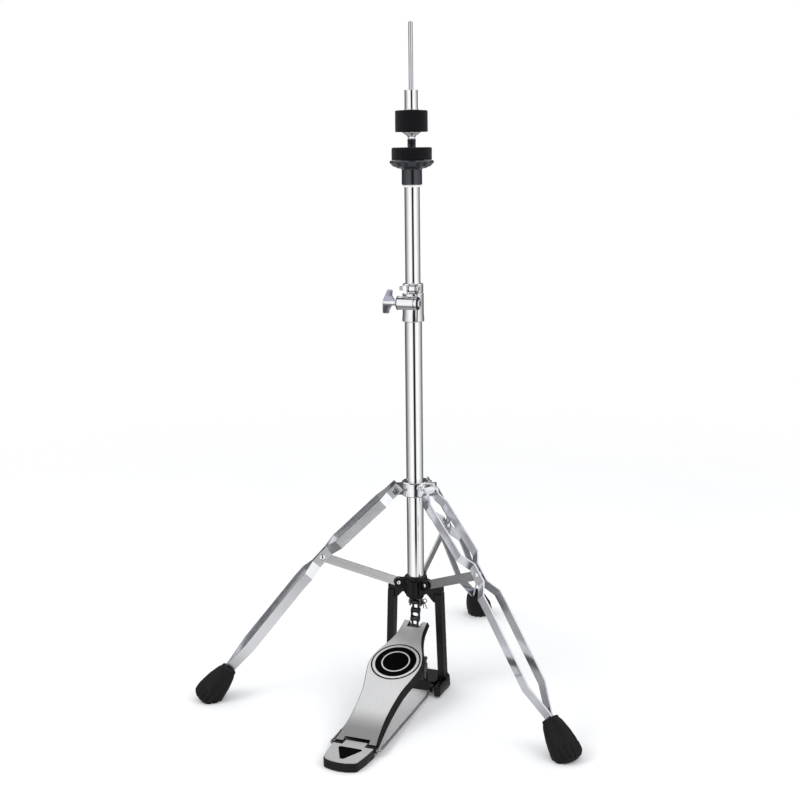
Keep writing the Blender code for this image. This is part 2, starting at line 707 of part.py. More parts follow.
def make_upright(side, name):
    top_x, foot_x = UPRIGHT_X
    half, deep = UPRIGHT_WIDTH / 2, UPRIGHT_DEPTH / 2
    outline = [
        (top_x - half, 0.1517, 0.0), (top_x + half, 0.1517, 0.0), (foot_x + half, 0.0220, 0.004),
        (foot_x + half + 0.0035, 0.0180, 0.001), (foot_x + half + 0.0045, 0.0012, 0.001),
        (foot_x - half, 0.0012, 0.001), (foot_x - half, 0.0300, 0.0),
    ]
    if side < 0:
        outline = [(-x, z, r) for x, z, r in reversed(outline)]
    upright = Matrix.Rotation(math.radians(90), 4, "X")
    bar = flat("%s_upright" % name, rounded_outline(outline, 3), 2 * deep, upright)
    x0, x1 = sorted((side * (foot_x - half + 0.0045), side * (foot_x + half + 0.0045)))
    toe = box("%s_toe" % name, (x0, -0.0400, 0.0012), (x1, 0.0060, 0.0170), CUTTERS, 0.0025)
    joined(bar, toe)
    add_bevel(bar, 0.0012, 1, 50)
    finish_part(bar, "black_casting")


def make_base_plate():
    (low, high), (front, back) = BASE_PLATE_Z, BASE_PLATE_Y
    half = UPRIGHT_X[1] - UPRIGHT_WIDTH / 2 - GAP
    outline = rounded_outline([
        (-half, front, 0.002), (half, front, 0.002), (half, back - 0.002, 0.010), (-half, back - 0.002, 0.010),
    ], 5)
    move = Matrix.Translation((0, 0, (low + high) / 2))
    plate = flat("base_plate", outline, high - low, move)
    add_bevel(plate, 0.0015, 1)
    lugs = [
        box("wire_lug_%d" % side, (min(side * 0.0300, side * half), front - 0.0120, 0.0035),
            (max(side * 0.0300, side * half), front + 0.004, 0.0135), CUTTERS, 0.001)
        for side in (-1, 1)
    ]
    joined(plate, *lugs)
    for side in (-1, 1):
        spur = cylinder("spur_bore_%d" % side, (side * SPUR_X, SPUR_Y, -0.01),
                        (side * SPUR_X, SPUR_Y, 0.03), 0.0033, 16, CUTTERS)
        socket = cylinder("wire_bore_%d" % side, (side * 0.0340, WIRE_END_Y - 0.01, WIRE_ARM_Z),
                          (side * 0.0340, front + 0.006, WIRE_ARM_Z), WIRE_BORE_R, 14, CUTTERS)
        cut_by(plate, spur, socket)
    finish_part(plate, "black_casting")


def make_spur(side, name):
    axis = add_empty("%s_spur_axis" % name, (side * SPUR_X, SPUR_Y, 0))
    spur = turned(
        "%s_spur_screw" % name,
        [
            (0, SPUR_TOP_Z), (0.0019, SPUR_TOP_Z - 0.0004), (0.0029, SPUR_TOP_Z - 0.0022),
            (0.0029, SPUR_TOP_Z - 0.0042), (0.0017, SPUR_TOP_Z - 0.0060), (0.0017, SPUR_TOP_Z - 0.0100),
            (0.0030, SPUR_TOP_Z - 0.0110), (0.0030, 0.0042), (0.0004, 0.0006), (0, 0.0006),
        ],
        False, 16,
    )
    finish_part(spur, "zinc_steel", axis)


# ---------------------------------------------------------------- pedal


def board_frame():
    """Board frame: x across, y from the toe edge down to the heel, z out of the top face."""
    away = Vector((0, -math.cos(BOARD_SLOPE), -math.sin(BOARD_SLOPE)))
    normal = Vector((0, -math.sin(BOARD_SLOPE), math.cos(BOARD_SLOPE)))
    foot = Vector((0, 0, BOARD_TOP_RISE)) - away * BOARD_LENGTH
    turn = Matrix((Vector((-1, 0, 0)), away, normal)).transposed().to_4x4()
    return Matrix.Translation(foot) @ turn


def board_outline(inset=0.0, end=None):
    stop = BOARD_HALF_WIDTHS[-1][0] if end is None else end
    places = [stop * i / 22 for i in range(23)]
    right = [(smooth_value(BOARD_HALF_WIDTHS, s) - inset, max(s, inset)) for s in places]
    return right + [(-w, s) for w, s in reversed(right)]


def make_footboard():
    axis = add_empty("pedal_hinge_axis", (0, HINGE_Y, HINGE_Z))
    frame = board_frame()
    outline = board_outline()
    mesh = bmesh.new()
    top = [mesh.verts.new((x, y, -PLATE_THICKNESS)) for x, y in outline]
    mesh.faces.new(top)
    skirt = []
    for x, y in outline:
        out = math.copysign(BOARD_FLARE, x)
        drop = smooth_value(BOARD_SKIRT, y)
        skirt.append(mesh.verts.new((x + out, y, -PLATE_THICKNESS - drop)))
    count = len(outline)
    for i in range(count):
        j = (i + 1) % count
        if i == count // 2 - 1:
            continue
        mesh.faces.new((top[i], skirt[i], skirt[j], top[j]))
    bmesh.ops.transform(mesh, matrix=frame, verts=mesh.verts)
    board = mesh_object("footboard", mesh)
    shell = board.modifiers.new("Wall", "SOLIDIFY")
    shell.thickness = BOARD_THICKNESS
    shell.offset = -1
    shell.use_even_offset = True

    half, deep = CHAIN_NOTCH
    notch = box("chain_notch", (-half, -0.02, -0.03), (half, deep, 0.02), CUTTERS)
    notch.matrix_parent_inverse = Matrix.Identity(4)
    wide, back = HEEL_NOTCH
    heel = box("heel_notch", (-wide, BOARD_LENGTH - back, -0.03), (wide, BOARD_LENGTH + 0.02, 0.02), CUTTERS)
    for cutter in (notch, heel):
        cutter.matrix_local = frame
        cutter.parent = axis
    knuckles = []
    for side in (-1, 1):
        x0, x1 = sorted((side * (wide + 0.0006), side * 0.0325))
        knuckles.append(cylinder("knuckle_%d" % side, (x0, 0, 0), (x1, 0, 0), KNUCKLE_R, 18, CUTTERS))
        web0, web1 = sorted((side * (wide + 0.0006), side * 0.0310))
        reach = box("knuckle_web_%d" % side, (web0, BOARD_LENGTH - 0.0230, -0.0050),
                    (web1, BOARD_LENGTH - 0.0015, -0.0014), CUTTERS)
        reach.matrix_local = frame
        knuckles.append(reach)
    toe_pin = frame.inverted() @ Vector((0, TOE_PIN_Y - HINGE_Y, toe_pin_height() - HINGE_Z))
    lugs = []
    for side in (-1, 1):
        x0, x1 = sorted((side * 0.0085, side * 0.0125))
        lug = box("toe_lug_%d" % side, (x0, 0.0025, toe_pin.z - 0.0045), (x1, 0.0200, -0.0020), CUTTERS)
        lug.matrix_local = frame
        lugs.append(lug)
    for piece in (*knuckles, *lugs):
        piece.parent = axis
    cut_by(board, notch, heel)
    joined(board, *knuckles, *lugs)
    pin_at = Vector((0, TOE_PIN_Y - HINGE_Y, toe_pin_height() - HINGE_Z))
    wire_hole = cylinder("board_wire_hole", (-0.05, 0, 0), (0.05, 0, 0), WIRE_BORE_R, 14, CUTTERS)
    pin_hole = cylinder("toe_pin_hole", pin_at - Vector((0.014, 0, 0)), pin_at + Vector((0.014, 0, 0)),
                        0.0020, 14, CUTTERS)
    wire_hole.parent = pin_hole.parent = axis
    cut_by(board, wire_hole, pin_hole)
    finish_part(board, "black_casting", axis)

    cover = flat("footboard_plate", board_outline(PLATE_INSET), PLATE_THICKNESS - GAP,
                 frame @ Matrix.Translation((0, 0, -(PLATE_THICKNESS - GAP) / 2)))
    cut_by(cover, notch, heel)
    finish_part(cover, "brushed_steel", axis)

    pin = cylinder("toe_pin", pin_at - Vector((0.0123, 0, 0)), pin_at + Vector((0.0123, 0, 0)), 0.0016, 14)
    finish_part(pin, "zinc_steel", axis)


def toe_pin_height():
    reach = CHAIN_PITCH * CHAIN_LINKS
    return CLEVIS_PIN_Z - math.sqrt(reach**2 - TOE_PIN_Y**2)


def heel_outline(inset=0.0, tongue_inset=0.0):
    wide, tip = 0.0312, HEEL_FRONT_Y
    tongue_half, tongue_deep = (size - tongue_inset for size in HEEL_TONGUE)
    top = HINGE_Y - 0.0042
    return rounded_outline([
        (-wide + inset, top - inset, 0.0), (-0.0292 + inset, -0.2690, 0.020),
        (-0.0250 + inset, tip + 0.0100 + inset, 0.0080), (0, tip - 0.0010 + inset, 0.050),
        (0.0250 - inset, tip + 0.0100 + inset, 0.0080), (0.0292 - inset, -0.2690, 0.020),
        (wide - inset, top - inset, 0.0), (tongue_half - inset, top - inset, 0.0),
        (tongue_half - inset, HINGE_Y + tongue_deep - inset, 0.0),
        (-tongue_half + inset, HINGE_Y + tongue_deep - inset, 0.0),
        (-tongue_half + inset, top - inset, 0.0),
    ], 4)


def make_heel():
    low = 0.0006
    base = flat("heel_base", heel_outline(), HEEL_TOP_Z - low,
                Matrix.Translation((0, 0, (HEEL_TOP_Z + low) / 2)))
    wire_hole = cylinder("heel_wire_hole", (-0.05, HINGE_Y, HINGE_Z), (0.05, HINGE_Y, HINGE_Z),
                         WIRE_BORE_R, 14, CUTTERS)
    sole = box("heel_sole", (-0.0172, HINGE_Y - 0.0100, low), (0.0172, HINGE_Y + 0.0240, 0.0040), CUTTERS)
    joined(base, sole)
    cut_by(base, wire_hole)
    finish_part(base, "black_casting")
    top = HEEL_TOP_Z + GAP
    cover = flat("heel_cover", heel_outline(0.0012, 0.0004), 0.0011, Matrix.Translation((0, 0, top + 0.00055)))
    finish_part(cover, "brushed_steel")


def make_radius_rod():
    """One bent wire: the heel's hinge pin across, and two arms back to the base plate's lugs."""
    inner = 0.0340
    bend = 0.0060
    x = WIRE_ARM_X
    corners = [
        (-inner, WIRE_END_Y, 0.0), (-inner, WIRE_END_Y - 0.012, 0.012), (-x, WIRE_END_Y - 0.026, 0.012),
        (-x, HINGE_Y, bend), (x, HINGE_Y, bend), (x, WIRE_END_Y - 0.026, 0.012),
        (inner, WIRE_END_Y - 0.012, 0.012), (inner, WIRE_END_Y, 0.0),
    ]
    curve = bpy.data.curves.new("radius_rod", "CURVE")
    curve.dimensions = "3D"
    curve.bevel_depth = WIRE_R
    curve.bevel_resolution = 1
    curve.use_fill_caps = True
    points = rounded_outline(corners, 4)
    spline = curve.splines.new("POLY")
    spline.points.add(len(points) - 1)
    for point, (px, py) in zip(spline.points, points):
        point.co = (px, py, WIRE_ARM_Z, 1)
    finish_part(curve_to_mesh("radius_rod", curve), "chrome")


# ---------------------------------------------------------------- tripod


def path_point(path, s):
    """The point, direction and normal of a polyline of (radius, z) at distance s from its start."""
    for (r0, z0), (r1, z1) in zip(path, path[1:]):
        run = Vector((r1 - r0, z1 - z0))
        if s <= run.length or (r1, z1) == path[-1]:
            along = run.normalized()
            return Vector((r0, z0)) + along * s, along, Vector((-along.y, along.x))
        s -= run.length


def distance_along(path, point):
    """How far along the path its nearest point to the given point lies."""
    best, start = None, 0.0
    for (r0, z0), (r1, z1) in zip(path, path[1:]):
        run = Vector((r1 - r0, z1 - z0))
        t = min(max((Vector(point) - Vector((r0, z0))).dot(run) / run.length_squared, 0), 1)
        gap = (Vector((r0, z0)) + run * t - Vector(point)).length
        if best is None or gap < best[0]:
            best = (gap, start + t * run.length)
        start += run.length
    return best[1]


def strip_bends():
    """(distance along the leg, distance of the strip's middle from the leg's plane)."""
    total = sum((Vector(b) - Vector(a)).length for a, b in zip(LEG_PATH, LEG_PATH[1:]))
    pivot, rivet = distance_along(LEG_PATH, LEG_PIVOT), distance_along(LEG_PATH, LEG_RIVET)
    mouth = distance_along(LEG_PATH, FOOT_MOUTH)
    return [
        (0, STRIP_AT_COLLAR), (pivot + 0.012, STRIP_AT_COLLAR), (pivot + 0.027, STRIP_WIDE),
        (rivet - 0.033, STRIP_WIDE), (rivet - 0.014, STRIP_AT_STAY), (rivet + 0.014, STRIP_AT_STAY),
        (rivet + 0.033, STRIP_WIDE), (mouth - 0.048, STRIP_WIDE), (mouth - 0.004, STRIP_AT_FOOT),
        (total, STRIP_AT_FOOT),
    ]


def make_strip(name, side, pivot_empty):
    """A flat bar bent sideways along the leg, then laid along the leg's path."""
    bends = strip_bends()
    corners, run = [], 0.0
    for (r0, z0), (r1, z1) in zip(LEG_PATH, LEG_PATH[1:]):
        run += (Vector((r1 - r0, z1 - z0))).length
        corners.append(run)
    stations = sorted({s for s, _ in bends} | set(corners[:-1]))
    half_t, half_w = STRIP_THICKNESS / 2, STRIP_WIDTH / 2
    mesh = bmesh.new()
    rings = []
    for i, s in enumerate(stations):
        offset = linear_value(bends, s)
        before, after = stations[max(i - 1, 0)], stations[min(i + 1, len(stations) - 1)]
        slope_in = slope_between(bends, before, s)
        slope_out = slope_between(bends, s, after)
        lean = (math.atan(slope_in) + math.atan(slope_out)) / 2
        across = half_t / math.cos((math.atan(slope_in) - math.atan(slope_out)) / 2)
        point, along, normal = path_point(LEG_PATH, s)
        ring = []
        for v, w in ((-1, -1), (1, -1), (1, 1), (-1, 1)):
            shift = -across * v * math.sin(lean)
            where = point + along * shift + normal * (half_w * w)
            y = side * (offset + across * v * math.cos(lean))
            ring.append(mesh.verts.new((where.x - LEG_PIVOT[0], y, where.y - LEG_PIVOT[1])))
        rings.append(ring)
    for a, b in zip(rings, rings[1:]):
        for k in range(4):
            mesh.faces.new((a[k], a[(k + 1) % 4], b[(k + 1) % 4], b[k]))
    mesh.faces.new(rings[0])
    mesh.faces.new(rings[-1])
    strip = mesh_object(name, mesh)
    strip.parent = pivot_empty
    rivet = Vector((LEG_RIVET[0] - LEG_PIVOT[0], 0, LEG_RIVET[1] - LEG_PIVOT[1]))
    reach = Vector((0, 0.03 * side, 0))
    hinge_hole = cylinder(name + "_hinge_hole", (0, 0, 0), reach, PIN_BORE_R, 16, CUTTERS)
    rivet_hole = cylinder(name + "_rivet_hole", rivet, rivet + reach, PIN_BORE_R, 16, CUTTERS)
    cut_by(strip, hinge_hole, rivet_hole)
    finish_part(strip, "chrome", pivot_empty)

    inner = STRIP_AT_STAY - half_t
    outer = STRIP_AT_STAY + half_t
    rivet_name = name.replace("strip", "rivet")
    shank = cylinder(rivet_name, rivet + Vector((0, side * (inner + 0.0001), 0)),
                     rivet + Vector((0, side * (outer + 0.0012), 0)), PIN_R, 16)
    head = cylinder(rivet_name + "_head", rivet + Vector((0, side * (outer + GAP), 0)),
                    rivet + Vector((0, side * (outer + 0.0022), 0)), 0.0046, 16, CUTTERS,
                    end_radius=0.0026)
    head.parent = pivot_empty
    joined(shank, head)
    finish_part(shank, "chrome", pivot_empty)


def linear_value(table, at):
    for (x0, y0), (x1, y1) in zip(table, table[1:]):
        if at <= x1:
            return y0 + (y1 - y0) * (at - x0) / (x1 - x0)
    return table[-1][1]


def slope_between(table, a, b):
    if a == b:
        return 0.0
    return (linear_value(table, b) - linear_value(table, a)) / (b - a)


def make_foot(name, pivot_empty):
    """A rubber boot: turned about the leg's lower run, cut flat where it stands on the floor."""
    start, end = Vector(LEG_PATH[-2]), Vector(LEG_PATH[-1])
    along = (end - start).normalized()
    profile = [
        (0, 0), (0.0106, 0), (0.0118, -0.0010), (0.0143, -0.0080), (0.0190, -0.0250), (0.0215, -0.0430),
        (0.0219, -0.0500), (0.0212, -0.0560), (0.0174, -0.0610), (0.0090, -0.0640), (0, -0.0645),
    ]
    foot = turned("%s_foot" % name, profile, False, 28)
    mouth = Vector((FOOT_MOUTH[0] - LEG_PIVOT[0], 0, FOOT_MOUTH[1] - LEG_PIVOT[1]))
    lean = math.atan2(along.x, -along.y)
    place = Matrix.Translation(mouth) @ Matrix.Rotation(-lean, 4, "Y")
    foot.matrix_local = place
    foot.parent = pivot_empty
    floor = box("%s_floor" % name, (-0.1, -0.1, -0.1), (0.5, 0.1, 0), CUTTERS)
    floor.location = (-LEG_PIVOT[0], 0, -LEG_PIVOT[1])
    floor.parent = pivot_empty
    half_y = STRIP_AT_FOOT + STRIP_THICKNESS / 2 + GAP
    half_x = STRIP_WIDTH / 2 + GAP
    pocket = box("%s_pocket" % name, (-half_x, -half_y, -FOOT_POCKET_DEPTH), (half_x, half_y, 0.01), CUTTERS)
    pocket.matrix_local = place
    pocket.parent = pivot_empty
    cut_by(foot, floor, pocket)
    finish_part(foot, "rubber", pivot_empty)


def make_stay(name, angle):
    r, z = STAY_PIN
    axis = add_empty("%s_stay_axis" % name, leg_frame(angle) @ Vector((r, 0, z)), math.radians(angle))
    reach = Vector((LEG_RIVET[0] - r, LEG_RIVET[1] - z))
    half = STAY_WIDTH / 2
    outline = []
    for centre, start in ((0.0, 90), (reach.length, -90)):
        for k in range(7):
            a = math.radians(start + 180 * k / 6)
            outline.append((centre + half * math.cos(a), half * math.sin(a)))
    lift = math.atan2(reach.y, reach.x)
    place = Matrix.Rotation(-lift, 4, "Y") @ Matrix.Rotation(math.radians(90), 4, "X")
    stay = flat("%s_stay" % name, outline, STAY_THICKNESS, place)
    stay.parent = axis
    holes = [
        cylinder("%s_stay_hole_%d" % (name, k), (x, -0.01, y), (x, 0.01, y), PIN_BORE_R, 16, CUTTERS)
        for k, (x, y) in enumerate(((0, 0), tuple(reach)))
    ]
    cut_by(stay, *holes)
    finish_part(stay, "zinc_steel", axis)


def make_collar():
    low, high = COLLAR_Z
    axis = add_empty("collar_axis", (0, 0, low))
    bore = LOWER_TUBE_R + GAP
    top = high - low
    ring = turned(
        "leg_collar",
        [
            (COLLAR_R - 0.0015, top), (COLLAR_R, top - 0.0015), (COLLAR_R, 0.0015),
            (COLLAR_R - 0.0015, 0), (bore, 0), (bore, top),
        ],
        True, 40,
    )
    ring.parent = axis
    r, z = LEG_PIVOT[0], LEG_PIVOT[1] - low
    lug_half = STRIP_AT_COLLAR - STRIP_THICKNESS / 2 - GAP
    for name, angle in LEG_ANGLES.items():
        turn = leg_frame(angle)
        eye = lug("%s_eye" % name, (0.0160, z), (r, z), 0.0075, -lug_half, lug_half, turn)
        eye.parent = axis
        joined(ring, eye)
    hole = cylinder("collar_bore", (0, 0, -0.02), (0, 0, 0.05), bore, 40, CUTTERS)
    cut_by(ring, hole)
    for name, angle in LEG_ANGLES.items():
        turn = leg_frame(angle)
        cut_by(ring, cylinder("%s_bolt_hole" % name, turn @ Vector((r, -0.02, z)),
                              turn @ Vector((r, 0.02, z)), PIN_BORE_R, 16, CUTTERS))
        outer = STRIP_AT_COLLAR + STRIP_THICKNESS / 2 + GAP
        bolt = cylinder("%s_leg_bolt" % name, turn @ Vector((r, -outer - 0.002, z)),
                        turn @ Vector((r, outer + 0.0065, z)), PIN_R, 16)
        head = cylinder("%s_bolt_head" % name, turn @ Vector((r, -outer - 0.0038, z)),
                        turn @ Vector((r, -outer, z)), 0.0052, 6, CUTTERS)
        nut = cylinder("%s_bolt_nut" % name, turn @ Vector((r, outer, z)),
                       turn @ Vector((r, outer + 0.0055, z)), 0.0056, 6, CUTTERS)
        head.parent = nut.parent = axis
        joined(bolt, head, nut)
        finish_part(bolt, "chrome", axis)
    angle, level = math.radians(28), 0.0150
    out = Vector((math.cos(angle), math.sin(angle), 0))
    up = Vector((0, 0, level))
    boss = cylinder("collar_boss", up + out * 0.0150, up + out * 0.0230, 0.0062, 20, CUTTERS)
    boss.parent = axis
    ring_hole = cylinder("collar_screw_hole", up + out * 0.0100, up + out * 0.03, 0.0027, 14, CUTTERS)
    joined(ring, boss)
    cut_by(ring, hole, ring_hole)
    finish_part(ring, "chrome", axis)

    spin = add_empty("collar_bolt_axis", (0, 0, low + level))
    screw = cylinder("collar_key_bolt", out * (bore + 0.0003), out * 0.0330, 0.0024, 14)
    flange = cylinder("collar_bolt_flange", out * (0.0230 + GAP), out * 0.0255, 0.0048, 16, CUTTERS)
    square = box("collar_bolt_square", (0.0250, -0.0027, -0.0027), (0.0330, 0.0027, 0.0027), CUTTERS)
    square.rotation_euler = (0, 0, angle)
    flange.parent = square.parent = spin
    joined(screw, flange, square)
    finish_part(screw, "chrome", spin)


def make_tripod():
    make_collar()
    strips = {"left": ("rear", "front"), "right": ("front", "rear"), "back": ("right", "left")}
    for name, angle in LEG_ANGLES.items():
        r, z = LEG_PIVOT
        pivot = add_empty("%s_leg_axis" % name, leg_frame(angle) @ Vector((r, 0, z)), math.radians(angle))
        for side, place in zip((-1, 1), strips[name]):
            make_strip("%s_leg_%s_strip" % (name, place), side, pivot)
        make_foot(name, pivot)
        make_stay(name, angle)


def main():
    make_tower()
    make_pull_rod()
    make_spring()
    make_adjuster()
    make_chain()
    make_frame()
    make_footboard()
    make_heel()
    make_radius_rod()
    make_tripod()


main()
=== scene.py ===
"""Looks of the hi-hat stand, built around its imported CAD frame.

Round chrome parts are turned afresh at a finer step, felts, rubber feet, chain and spring are modelled
piece by piece, and the remaining CAD solids get rounded edges and procedural finishes.
"""

import math

import bmesh
import bpy
from mathutils import Matrix, Vector, noise


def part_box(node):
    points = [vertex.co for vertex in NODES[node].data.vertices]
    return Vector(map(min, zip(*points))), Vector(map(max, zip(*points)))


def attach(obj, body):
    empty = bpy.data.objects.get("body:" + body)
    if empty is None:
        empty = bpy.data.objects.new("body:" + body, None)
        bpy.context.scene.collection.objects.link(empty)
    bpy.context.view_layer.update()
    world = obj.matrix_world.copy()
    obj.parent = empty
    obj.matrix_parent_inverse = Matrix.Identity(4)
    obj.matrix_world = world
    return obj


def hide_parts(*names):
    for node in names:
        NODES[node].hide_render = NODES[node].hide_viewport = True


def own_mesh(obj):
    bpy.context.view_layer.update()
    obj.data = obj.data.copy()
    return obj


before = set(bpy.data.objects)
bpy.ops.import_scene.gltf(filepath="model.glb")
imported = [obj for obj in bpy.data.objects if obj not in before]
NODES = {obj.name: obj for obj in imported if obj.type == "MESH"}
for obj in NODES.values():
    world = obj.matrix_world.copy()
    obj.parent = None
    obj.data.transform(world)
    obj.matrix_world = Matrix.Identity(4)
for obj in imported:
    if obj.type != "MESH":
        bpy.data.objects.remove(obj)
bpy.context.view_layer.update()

# ---------------------------------------------------------------- places, in metres

STEPS = 96
WELD_DISTANCE = 0.00002
TUBE_WALL, TUBE_RIM = 0.0012, 0.0004

# Legs: degrees about the stand, then (outwards, up) along each leg.
LEG_ANGLES = {"left": 210, "right": 330, "back": 90}
LEG_RIVET = (0.1420, 0.2140)
LEG_RUN = ((0.1760, 0.1783), (0.2985, 0.0330))
STRIP_AT_STAY, STRIP_THICKNESS = 0.0031, 0.0024
FOOT_MOUTH = (0.2865, 0.0472)
STAY_PIN = (0.0270, 0.1675)

# Pedal, pull rod and chain.
HINGE_Y, HINGE_Z = -0.2425, 0.0085
BOARD_SLOPE = math.radians(20.3)
BOARD_LENGTH = 0.2586
BOARD_TOP_RISE = 0.0045
BADGE_AT, BADGE_R = 0.0928, 0.0372
SOLE_BOTTOM, SOLE_TOP = 0.0006, 0.0028
CHAIN_PITCH, CHAIN_LINKS = 0.0127, 3
CLEVIS_PIN_Z, CLEVIS_PIN_R, TOE_PIN_Y = 0.1330, 0.0017, -0.0064
SPRING_R, SPRING_WIRE_R, SPRING_TURNS = 0.0088, 0.0010, 7

# Tower.
CLUTCH_SCREW_ANGLE = math.radians(110)
BARREL_X, BARREL_Y, BARREL_Z = (-0.0152, 0.0147), -0.0190, 0.5945
WING_HUB_LENGTH = 0.0245
SEAT_RIM_Z, SEAT_NECK_Z, SEAT_SHOULDER_Z = 0.7972, 0.7858, 0.7803
SEAT_PETALS, SEAT_PETAL_DEPTH, SEAT_PETAL_TURN = 8, 0.0018, math.radians(291.5)


def low(node):
    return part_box(node)[0]


def high(node):
    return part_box(node)[1]


def middle(node):
    return (low(node) + high(node)) / 2


def leg_turn(name):
    return Matrix.Rotation(math.radians(LEG_ANGLES[name]), 4, "Z")


def axis_turn(axis):
    """Turns +Z onto the axis."""
    return Vector((0, 0, 1)).rotation_difference(Vector(axis)).to_matrix().to_4x4()


def board_frame():
    """Board frame in the stand's: x across, y from the toe edge down to the heel, z out of the top face."""
    away = Vector((0, -math.cos(BOARD_SLOPE), -math.sin(BOARD_SLOPE)))
    normal = Vector((0, -math.sin(BOARD_SLOPE), math.cos(BOARD_SLOPE)))
    foot = Vector((0, HINGE_Y, HINGE_Z + BOARD_TOP_RISE)) - away * BOARD_LENGTH
    turn = Matrix((Vector((-1, 0, 0)), away, normal)).transposed().to_4x4()
    return Matrix.Translation(foot) @ turn


# ---------------------------------------------------------------- materials


def add_node(tree, kind, values=(), links=(), **settings):
    node = tree.nodes.new("ShaderNode" + kind)
    for key, value in settings.items():
        setattr(node, key, value)
    for key, value in dict(values).items():
        node.inputs[key].default_value = value
    for key, source in dict(links).items():
        tree.links.new(source, node.inputs[key])
    return node


def object_coords(tree, stretch=(1, 1, 1), turn=(0, 0, 0)):
    coords = add_node(tree, "TexCoord")
    values = {"Rotation": turn, "Scale": stretch}
    return add_node(tree, "Mapping", values, {"Vector": coords.outputs["Object"]}).outputs["Vector"]


def grain(tree, vector, scale, detail=3.0, roughness=0.55):
    values = {"Scale": scale, "Detail": detail, "Roughness": roughness}
    return add_node(tree, "TexNoise", values, {"Vector": vector}).outputs["Fac"]


def spread(tree, source, low_value, high_value, start=0.35, stop=0.65, **settings):
    """Maps start..stop of the source to low_value..high_value."""
    values = {"From Min": start, "From Max": stop, "To Min": low_value, "To Max": high_value}
    return add_node(tree, "MapRange", values, {"Value": source}, **settings).outputs["Result"]


def blend_colours(tree, factor, first, second):
    ramp = add_node(tree, "ValToRGB", links={"Fac": factor})
    ramp.color_ramp.elements[0].position = 0.3
    ramp.color_ramp.elements[1].position = 0.7
    ramp.color_ramp.elements[0].color = (*first, 1)
    ramp.color_ramp.elements[1].color = (*second, 1)
    return ramp.outputs["Color"]


def ramp_node(tree, factor, stops, blend="LINEAR"):
    ramp = add_node(tree, "ValToRGB", links={"Fac": factor})
    bar = ramp.color_ramp
    bar.interpolation = blend
    while len(bar.elements) < len(stops):
        bar.elements.new(0.5)
    for element, (at, grey) in zip(bar.elements, stops):
        element.position = at
        element.color = (grey, grey, grey, 1)
    return ramp.outputs["Color"]


def bump(tree, height, strength, distance, normal=None):
    links = {"Height": height}
    if normal:
        links["Normal"] = normal
    values = {"Strength": strength, "Distance": distance}
    return add_node(tree, "Bump", values, links).outputs["Normal"]


def finish(name, metallic=0.0, specular=0.5, coat=0.0, coat_roughness=0.1, sheen=0.0, sheen_roughness=0.4,
           anisotropy=0.0):
    material = bpy.data.materials.new(name)
    material.use_nodes = True
    tree = material.node_tree
    shader = tree.nodes["Principled BSDF"]
    constants = {
        "Metallic": metallic,
        "Specular IOR Level": specular,
        "Coat Weight": coat,
        "Coat Roughness": coat_roughness,
        "Sheen Weight": sheen,
        "Sheen Roughness": sheen_roughness,
        "Anisotropic": anisotropy,
    }
    for key, value in constants.items():
        shader.inputs[key].default_value = value
    return material, tree, shader


def set_looks(tree, shader, colour, roughness, normal):
    tree.links.new(colour, shader.inputs["Base Color"])
    tree.links.new(roughness, shader.inputs["Roughness"])
    tree.links.new(normal, shader.inputs["Normal"])


def metal(name, first, second, rough, pits=0.02, metallic=1.0):
    """Bare or plated metal: clouded colour, patchy polish and faint pits."""
    material, tree, shader = finish(name, metallic=metallic)
    vector = object_coords(tree)
    clouds = grain(tree, vector, 55, 4)
    speckle = grain(tree, vector, 900.0, 2)
    colour = blend_colours(tree, clouds, first, second)
    roughness = spread(tree, clouds, rough[0], rough[1], 0.3, 0.7)
    normal = bump(tree, speckle, pits, 0.0002)
    set_looks(tree, shader, colour, roughness, normal)
    return material


def powder_coat(name, base, rough, peel, specular):
    """Cast metal under black paint: orange peel, fine grit and slightly lighter worn patches."""
    material, tree, shader = finish(name, specular=specular)
    vector = object_coords(tree)
    clouds = grain(tree, vector, 70, 5)
    grit = grain(tree, vector, 1500, 2)
    peel_noise = grain(tree, vector, 420, 2)
    lighter = tuple(1.9 * c + 0.002 for c in base)
    colour = blend_colours(tree, clouds, base, lighter)
    roughness = spread(tree, clouds, rough[0], rough[1])
    normal = bump(tree, grit, peel * 0.5, 0.0003)
    normal = bump(tree, peel_noise, peel, 0.0006, normal)
    set_looks(tree, shader, colour, roughness, normal)
    return material


def moulded(name, base, rough, coat=0.0, texture=0.06, specular=0.5):
    """Moulded plastic, rubber or enamel: nearly even colour with a fine skin texture."""
    material, tree, shader = finish(name, coat=coat, coat_roughness=0.12, specular=specular)
    vector = object_coords(tree)
    clouds = grain(tree, vector, 90, 4)
    fine = grain(tree, vector, 1300, 3)
    lighter = tuple(min(1.3 * c + 0.001, 1.0) for c in base)
    colour = blend_colours(tree, clouds, base, lighter)
    roughness = spread(tree, clouds, rough[0], rough[1])
    set_looks(tree, shader, colour, roughness, bump(tree, fine, texture, 0.0003))
    return material


def felt_finish(name):
    """Pressed wool felt: matted fibres at two sizes and a soft sheen."""
    material, tree, shader = finish(name, specular=0.12, sheen=0.10, sheen_roughness=0.5)
    vector = object_coords(tree)
    mats = grain(tree, vector, 260, 6, 0.7)
    fibres = grain(tree, object_coords(tree, (1, 1, 2.2), (0.4, 0.3, 0.2)), 1400, 5, 0.8)
    colour = blend_colours(tree, fibres, (0.0022, 0.0023, 0.0029), (0.0080, 0.0082, 0.0098))
    roughness = spread(tree, mats, 0.88, 1.0)
    normal = bump(tree, fibres, 0.7, 0.0006)
    normal = bump(tree, mats, 0.6, 0.0012, normal)
    set_looks(tree, shader, colour, roughness, normal)
    return material


